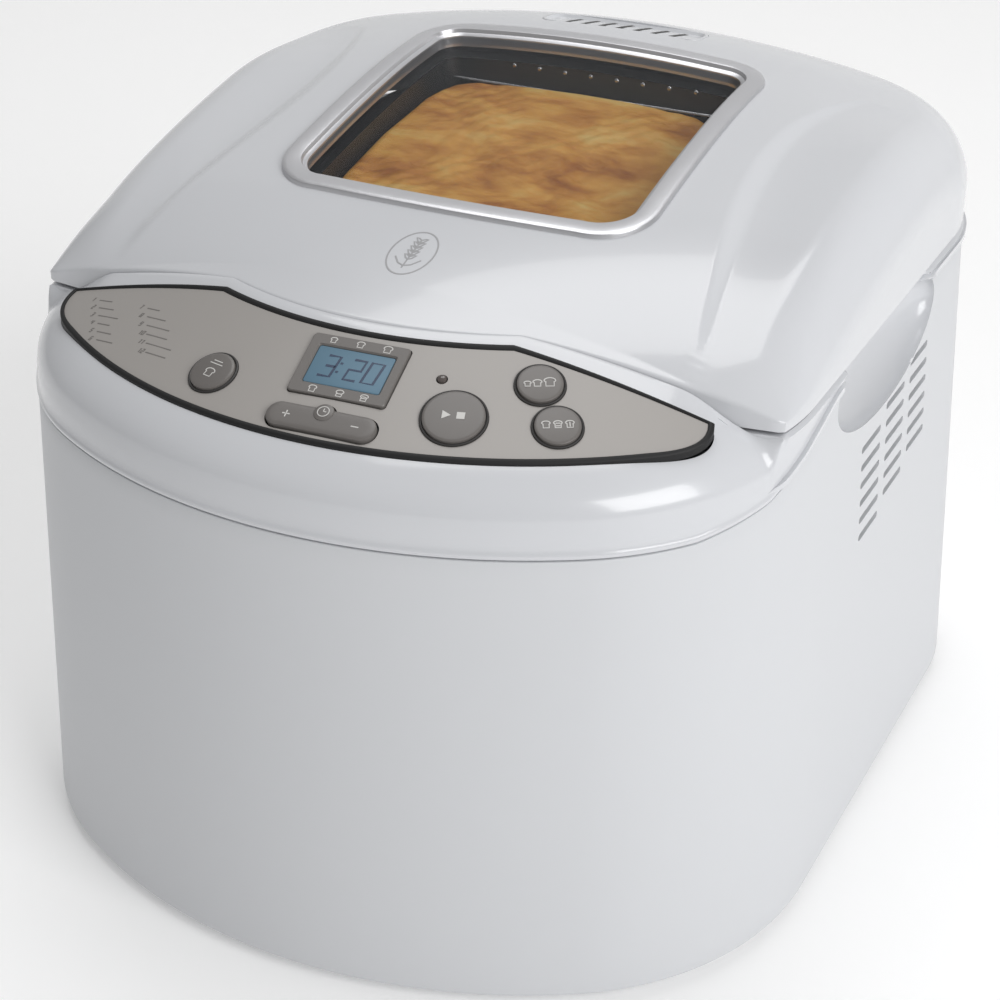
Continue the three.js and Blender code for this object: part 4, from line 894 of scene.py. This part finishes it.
vent_rows = [vent_ring(0.15, -4.2), vent_ring(0.15, -0.25), vent_ring(0.3, 0.1), vent_ring(0.6, 0.2),
             vent_ring(1.2, 0.1), vent_ring(1.7, -0.6), vent_ring(2.1, -1.1), vent_ring(3.0, -1.2)]
floor_ring = rounded_box(-31, 31, 114, 125, 3.2)
vent_rows += [over_lid(VENT_MIDDLE + (floor_ring - VENT_MIDDLE) * s, -1.2, False)
              for s in (0.7, 0.35, 0.01)]
vent = skin("vent_plate", vent_rows, caps=True)
fitted(vent, GLOSS_WHITE, "lid", "vent_grille")
# The slots are not cut through the plate: dark strokes on the recess floor are painted shade where the slot
# openings would be.
painted_slot_shade = strokes("vent_slot_painted_shade", [np.linspace([x - 1.9, 114.6], [x + 1.9, 124.2], 8) for x in VENT_X],
               2.0, 0.06,
               lambda p: np.column_stack([p[:, :2], lid_top(p[:, 0], p[:, 1], False) - 1.19 + p[:, 2]]))
fitted(painted_slot_shade, DARK_RING, "lid")

# An oval emblem with an ear of wheat, printed in silver grey in front of the window.
EMBLEM = (2.0, -72.0)
ear = [arc_path(0, 0, 8.6, 0, 360, 60, 1.34), [(0, -8.2), (0, 7.4)]]
for k in range(5):
    y = -2.6 + 2.3 * k
    for side in (-1, 1):
        ear.append([(0, y - 0.9), (side * 1.3, y - 0.2), (side * 2.4, y + 1.6),
                    (side * 1.3, y + 1.4), (0, y + 0.5)])
for side in (-1, 1):
    ear.append([(0, -7.0), (side * 2.6, -6.0), (side * 5.2, -3.0)])


def emblem_place(p):
    """Lays the emblem's strokes on the lid around its centre."""
    x, y = EMBLEM[0] + p[:, 0] * 0.92, EMBLEM[1] + p[:, 1]
    return np.column_stack([x, y, lid_top(x, y) + p[:, 2]])


EMBLEM_GREY = moulded_plastic("silver_grey_ink", (0.36, 0.36, 0.37), 0.35, 0.5, 0.005, age=0.08)
emblem = strokes("wheat_emblem", ear, 0.6, 0.06, emblem_place, 0.02)
fitted(emblem, EMBLEM_GREY, "lid")

# ------------------------------------------------------------------ window
# A satin silver frame of die-cast metal clips over the opening and holds a curved outer pane. The
# flat lip inside steps down to the glass, and a second pane closes the well in the lid's lining.
def brushed_metal(name, colour, rough, grain=(400, 400, 400), depth=0.01, metallic=1.0, spread=0.08):
    """Metal with fine scratches: a noise stretched along the working direction drives a small bump
    and the gloss, and a slow noise changes the tone."""
    made, tree, shader = blank_material(name, Metallic=metallic)
    place = add_node(tree, "TexCoord")
    scale = add_node(tree, "Mapping", Scale=grain)
    scratch = add_node(tree, "TexNoise", Scale=1, Detail=3)
    slow = add_node(tree, "TexNoise", Scale=30)
    gloss = add_node(tree, "MapRange", To_Min=rough - spread, To_Max=rough + spread)
    tint = add_node(tree, "Mix", A=(*[c * 0.88 for c in colour], 1), B=(*colour, 1))
    bump = add_node(tree, "Bump", Strength=0.4, Distance=depth * MM)
    wire(tree, (place, "Object", scale, "Vector"), (scale, "Vector", scratch, "Vector"),
         (place, "Object", slow, "Vector"), (scratch, "Fac", gloss, "Value"),
         (gloss, "Result", shader, "Roughness"), (slow, "Fac", tint, "Factor"),
         (tint, "Result", shader, "Base Color"), (scratch, "Fac", bump, "Height"),
         (bump, "Normal", shader, "Normal"))
    return made


SATIN_SILVER = brushed_metal("satin_silver_casting", (0.62, 0.62, 0.64), 0.34, (900, 900, 900), 0.006, 0.75)
profile = [(0, -1.5), (0, 1.1), (-0.25, 1.6), (-0.8, 1.8), (-1.8, 1.85), (-6.2, 1.75), (-6.9, 1.5),
           (-7.3, 0.7), (-7.5, 0.1), (-8.3, -0.3), (-9.0, -0.8), (-9.1, -5.0), (-6.6, -5.0), (-6.5, -1.5)]
frame_piece = skin("window_bezel", [over_lid(window_ring(g), h, False) for g, h in profile], closed=True)
fitted(frame_piece, SATIN_SILVER, "lid", "window_frame")


def pane(name, grow, low, high):
    """A curved sheet of glass under the lid's surface: rings shrink from the outline to its middle
    on the upper face, and grow again on the lower one."""
    ring, middle = window_ring(grow), np.array([0.0, 24.0])
    sizes = (0.002, 0.2, 0.4, 0.6, 0.8, 0.95, 1.0)
    up = [over_lid(middle + (ring - middle) * s, high, False) for s in sizes]
    down = [over_lid(middle + (ring - middle) * s, low, False) for s in sizes[::-1]]
    return skin(name, up + down, caps=True)


def clear_glass(name, alpha, rough):
    """Thin clear glass: mostly see-through, with a mirror gloss and faint smears of grease."""
    made, tree, shader = blank_material(name, Base_Color=(0.05, 0.055, 0.06, 1), Alpha=alpha, IOR=1.5)
    place = add_node(tree, "TexCoord")
    smear = add_node(tree, "TexNoise", Scale=35, Detail=4)
    gloss = add_node(tree, "MapRange", To_Min=rough, To_Max=rough + 0.12)
    wire(tree, (place, "Object", smear, "Vector"), (smear, "Fac", gloss, "Value"),
         (gloss, "Result", shader, "Roughness"))
    return made


WINDOW_GLASS = clear_glass("window_glass_clear", 0.1, 0.02)
INNER_GLASS = clear_glass("inner_glass_clear", 0.06, 0.04)
outer_pane = pane("outer_pane", -9.4, -4.0, -1.2)
fitted(outer_pane, WINDOW_GLASS, "lid", "window_glass")
inner_pane = pane("inner_pane", -9.9, -8.4, -6.2)
fitted(inner_pane, INNER_GLASS, "lid", "inner_glass")

# Dark coated sheet inside the well, with a row of rivets along its back and a wire rail below them.
DARK_COAT = moulded_plastic("dark_oven_coating", (0.028, 0.03, 0.033), 0.38, 0.5, 0.03, age=0.3)
well_rows = []
for grow, z_from_top in ((-11.15, 8.9), (-11.15, 14), (-11.15, 22), (-11.15, 30)):
    ring = window_ring(grow)
    top_z = lid_top(ring[:, 0], ring[:, 1], False)
    z = np.maximum(top_z - z_from_top, 215.2) if z_from_top < 30 else np.full(len(ring), 215.1)
    well_rows.append(np.column_stack([ring, z]))
inner_ring = window_ring(-11.55)
well_rows += [np.column_stack([inner_ring, row[:, 2]]) for row in well_rows[::-1]]
well = skin("well_lining", well_rows, closed=True)
fitted(well, DARK_COAT, "lid")


def ball(name, at, r, flat=1.0):
    """A small rivet head: an egg of this radius, flattened along Y."""
    return egg(name, at, (r, r * flat, r), 10, 16)


RIVET = brushed_metal("bright_rivet_steel", (0.7, 0.7, 0.72), 0.25)
rivets = [ball(f"well_rivet_{k}", (x, 83.6, 243.2), 1.0, 0.7)
          for k, x in enumerate(np.linspace(-32, 44, 8))]
bpy.ops.object.select_all(action="DESELECT")
for r in rivets:
    r.select_set(True)
bpy.context.view_layer.objects.active = rivets[0]
bpy.ops.object.join()
rivets[0].name = "well_rivets"
fitted(rivets[0], RIVET, "lid")


def tube(name, path, r, sides=12, closed=False, caps=True):
    """A round bar along a path: circles in the plane across the path's run at each point."""
    path = np.asarray(path, float)
    run = np.gradient(path, axis=0) if not closed else np.roll(path, -1, 0) - np.roll(path, 1, 0)
    run /= np.linalg.norm(run, axis=1, keepdims=True)
    up = np.where(np.abs(run[:, 2:3]) > 0.9, [[1.0, 0, 0]], [[0, 0, 1.0]])
    side = np.cross(run, up)
    side /= np.linalg.norm(side, axis=1, keepdims=True)
    top = np.cross(side, run)
    a = np.linspace(0, 2 * math.pi, sides, endpoint=False)
    a = a[None, :, None]
    rows = path[:, None] + r * (np.cos(a) * side[:, None] + np.sin(a) * top[:, None])
    return skin(name, rows, closed=closed, caps=caps and not closed)


rail_x = np.linspace(-58, 58, 40)
rail = tube("well_rail", np.stack([rail_x, np.full(40, 82.4), np.full(40, 235.2)], 1), 0.7)
fitted(rail, RIVET, "lid")

# ------------------------------------------------------------------ baked loaf
# A tin loaf that stands in the pan: straight sides from the pan, and a crown that has risen up the
# well to the window. Underneath is the hollow that the paddle leaves.
def loaf_crust():
    """Rounded squares stacked from the foot to the crown, each drawn in as it rises over the rim.
    The crown follows the window's fall less 15 mm. Lumps are sums of sines over x, y and z."""
    n = 220
    a = np.linspace(0, 2 * math.pi, n, endpoint=False)
    power = 0.27
    ux = np.sign(np.cos(a)) * np.abs(np.cos(a)) ** power
    uy = np.sign(np.sin(a)) * np.abs(np.sin(a)) ** power
    rows = [np.stack([0.4 * np.cos(a), OVEN_Y + 0.4 * np.sin(a), np.full(n, 152.0)], 1),
            np.stack([30 * np.cos(a), OVEN_Y + 30 * np.sin(a), np.full(n, 150.0)], 1),
            np.stack([46 * np.cos(a), OVEN_Y + 46 * np.sin(a), np.full(n, 142.0)], 1),
            np.stack([47 * np.cos(a), OVEN_Y + 47 * np.sin(a), np.full(n, 84.0)], 1)]
    body = [(61, 50, 81.8), (66, 55.5, 84), (67.5, 57.5, 95), (69, 58.5, 130), (70, 59.2, 170),
            (70, 59.2, 184)]
    for hx, hy, z in body:
        rows.append(np.stack([hx * ux, OVEN_Y + hy * uy, np.full(n, z)], 1))
    for t in np.linspace(0.02, 1, 80):
        lean = ease(t, 0, 0.2)
        shape = np.clip((1 - t) / 0.78, 0.004, 1)
        neck = ease(t, 0, 0.1)
        x = (70 - 10.6 * neck) * ux * shape
        y = OVEN_Y + 0.4 * neck + (59.2 - 3.4 * neck) * uy * shape
        crown = lid_top(x, y, False) - 14.7
        far = np.clip((shape - 0.92) / 0.08, 0, 1)
        rim = 3.2 + 3.6 * np.clip(uy, 0, 1)
        z = 184 + (crown - 184) * ease(t, 0, 0.2) - rim * lean * (1 - np.sqrt(1 - 0.999 * far ** 2))
        lump = (1.1 * np.sin(x * 0.11 + 1.0) * np.sin(y * 0.085) + 0.7 * np.sin(x * 0.27 + y * 0.19)
                + 0.35 * np.sin(x * 0.7 - y * 0.6) + 0.25 * np.sin(y * 1.1 + 0.4 * x))
        z = z + 0.55 * (lump - 2.4) * ease(t, 0.1, 0.4)
        rows.append(np.stack([x, y, z], 1))
    return skin("baked_loaf", rows, caps=True, smooth=60)


def crust_material():
    """Crust that is darkest on the high folds and golden between: stretched noise gives the torn
    streaks, fine noise the blisters, and both raise the surface."""
    made, tree, shader = blank_material("golden_crust", Subsurface_Weight=0.08)
    place = add_node(tree, "TexCoord")
    turned = add_node(tree, "Mapping", Scale=(30, 62, 45), Rotation=(0, 0, 0.5))
    streak = add_node(tree, "TexNoise", Scale=1, Detail=9, Distortion=0.35, Roughness=0.62)
    ramp = add_node(tree, "ValToRGB")
    dark, *between, pale = [(0.30, (0.36, 0.10, 0.016, 1)), (0.42, (0.68, 0.28, 0.045, 1)),
                            (0.54, (0.92, 0.46, 0.09, 1)), (0.70, (1.0, 0.68, 0.22, 1))]
    for stop, (position, colour) in zip(ramp.color_ramp.elements, (dark, pale)):
        stop.position, stop.color = position, colour
    for position, colour in between:
        ramp.color_ramp.elements.new(position).color = colour
    blister = add_node(tree, "TexNoise", Scale=420, Detail=4)
    low = add_node(tree, "Bump", Strength=0.8, Distance=2.0 * MM)
    high = add_node(tree, "Bump", Strength=0.5, Distance=0.35 * MM)
    gloss = add_node(tree, "MapRange", To_Min=0.62, To_Max=0.4)
    wire(tree, (place, "Object", turned, "Vector"), (turned, "Vector", streak, "Vector"),
         (place, "Object", blister, "Vector"), (streak, "Fac", ramp, "Fac"),
         (ramp, "Color", shader, "Base Color"), (streak, "Fac", gloss, "Value"),
         (gloss, "Result", shader, "Roughness"), (streak, "Fac", low, "Height"),
         (blister, "Fac", high, "Height"), (low, "Normal", high, "Normal"),
         (high, "Normal", shader, "Normal"))
    return made


loaf = loaf_crust()
dressed(loaf, crust_material())
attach(loaf, "bread_pan")

# ------------------------------------------------------------------ finishes of the other pieces
# Everything else keeps its machined or moulded shape and gets the finish its maker gave it:
# turned and pressed steel, cast and coated aluminium, sintered bronze, nylon, rubber and circuits.
STEEL = brushed_metal("pressed_steel", (0.52, 0.52, 0.53), 0.32, (60, 900, 900), 0.01)
TURNED_STEEL = brushed_metal("turned_steel", (0.6, 0.6, 0.61), 0.24, (900, 900, 2500), 0.006)
DARK_STEEL = brushed_metal("annealed_dark_steel", (0.10, 0.10, 0.11), 0.42, (300, 300, 300), 0.02)
CAST = brushed_metal("cast_aluminium", (0.46, 0.46, 0.47), 0.5, (700, 700, 700), 0.05)
ALLOY = brushed_metal("extruded_alloy", (0.58, 0.58, 0.6), 0.3, (80, 800, 800), 0.008)
BRONZE = brushed_metal("sintered_bronze", (0.42, 0.26, 0.10), 0.42, (1500, 1500, 1500), 0.02)
NON_STICK = brushed_metal("non_stick_coating", (0.045, 0.047, 0.052), 0.42, (1200, 1200, 1200), 0.025, 0.25)
SILVER_FOIL = brushed_metal("silver_foil", (0.55, 0.55, 0.57), 0.36, (200, 1500, 200), 0.004, 0.8)
NYLON = moulded_plastic("natural_nylon", (0.62, 0.61, 0.56), 0.45, 1.2, 0.02)
CIRCUIT = moulded_plastic("green_circuit_lacquer", (0.02, 0.11, 0.045), 0.3, 1.1, 0.06, coat=0.3, age=0.25)
MATERIALS = {"white_satin": SATIN_WHITE, "white_gloss": GLOSS_WHITE, "rubber": BLACK_RUBBER,
             "taupe": TAUPE, "key_grey": KEY_GREY, "lcd": CELL, "led": LAMP, "circuit": CIRCUIT,
             "silver": SILVER_FOIL, "steel": STEEL, "dark_steel": DARK_STEEL, "cast": CAST,
             "alloy": ALLOY, "bronze": BRONZE, "nylon": NYLON, "non_stick": NON_STICK,
             "glass": WINDOW_GLASS}
TURNED = {"drive_shaft", "motor_shaft", "pan_spindle", "hinge_pin_left", "hinge_pin_right"}
for row in frame["record"]["subparts"]:
    kept = nodes.get(row["node"])
    if kept is not None and not kept.hide_render:
        dressed(kept, TURNED_STEEL if row["node"] in TURNED else MATERIALS[row["material_slot"]])

# ------------------------------------------------------------------ studio
# A white sweep of floor, soft light from the right and above, a weaker fill from the left, and the
# camera in front of the right-hand corner.
sweep = np.linspace(0, 1, 40)
floor_y = -3.5 + 6.5 * np.minimum(sweep / 0.6, 1)
floor_z = 3.5 * (np.maximum(sweep - 0.6, 0) / 0.4) ** 1.6
across = np.linspace(-5, 5, 20)
grid = np.stack(np.broadcast_arrays(across[None], floor_y[:, None], floor_z[:, None]), -1)
mesh = bpy.data.meshes.new("studio_floor")
i, j = np.meshgrid(np.arange(39), np.arange(19), indexing="ij")
corner = i * 20 + j
mesh.from_pydata(grid.reshape(-1, 3).tolist(), [],
                 np.stack([corner, corner + 1, corner + 21, corner + 20], -1).reshape(-1, 4).tolist())
floor = bpy.data.objects.new("studio_floor", mesh)
bpy.context.scene.collection.objects.link(floor)
floor.data.shade_smooth()
FLOOR = moulded_plastic("white_studio_paper", (0.84, 0.84, 0.84), 0.8, 3, 0.02, age=0.01)
FLOOR.node_tree.nodes["Principled BSDF"].inputs["Emission Color"].default_value = (1, 1, 1, 1)
FLOOR.node_tree.nodes["Principled BSDF"].inputs["Emission Strength"].default_value = 0.2
dressed(floor, FLOOR)


def soft_light(name, place, aim, size, power, colour=(1, 1, 1)):
    """A square soft light at a place, pointed at an aim."""
    lamp_data = bpy.data.lights.new(name, "AREA")
    lamp_data.size = size
    lamp_data.energy = power
    lamp_data.color = colour
    light = bpy.data.objects.new(name, lamp_data)
    bpy.context.scene.collection.objects.link(light)
    heading = (np.array(aim) - place)
    light.location = place
    light.rotation_mode = "QUATERNION"
    light.rotation_quaternion = Vector(heading).to_track_quat("-Z", "Y")
    return light


soft_light("key_light", (2.0, -0.95, 1.45), (0, 0, 0.12), 1.5, 41)
soft_light("top_light", (-0.3, 0.6, 2.3), (0, 0, 0.1), 1.4, 18)
world = bpy.data.worlds.new("studio_world")
world.use_nodes = True
world.node_tree.nodes["Background"].inputs["Color"].default_value = (1, 1, 1, 1)
world.node_tree.nodes["Background"].inputs["Strength"].default_value = 0.3
bpy.context.scene.world = world
bpy.context.scene.view_settings.view_transform = "Standard"

eye = bpy.data.objects.new("camera", bpy.data.cameras.new("camera"))
bpy.context.scene.collection.objects.link(eye)
right = np.array([0.906308, 0.422618, 0.0])
up = np.array([-0.21144, 0.45344, 0.86584])
backward = np.array([0.36592, -0.78472, 0.50032])
pose = np.eye(4)
pose[:3, 0], pose[:3, 1], pose[:3, 2] = right, up, backward
pose[:3, 3] = (0.30777, -0.65851, 0.51730)
eye.matrix_world = Matrix(pose.tolist())
eye.data.lens = 77.23
eye.data.sensor_width = 36
bpy.context.scene.camera = eye
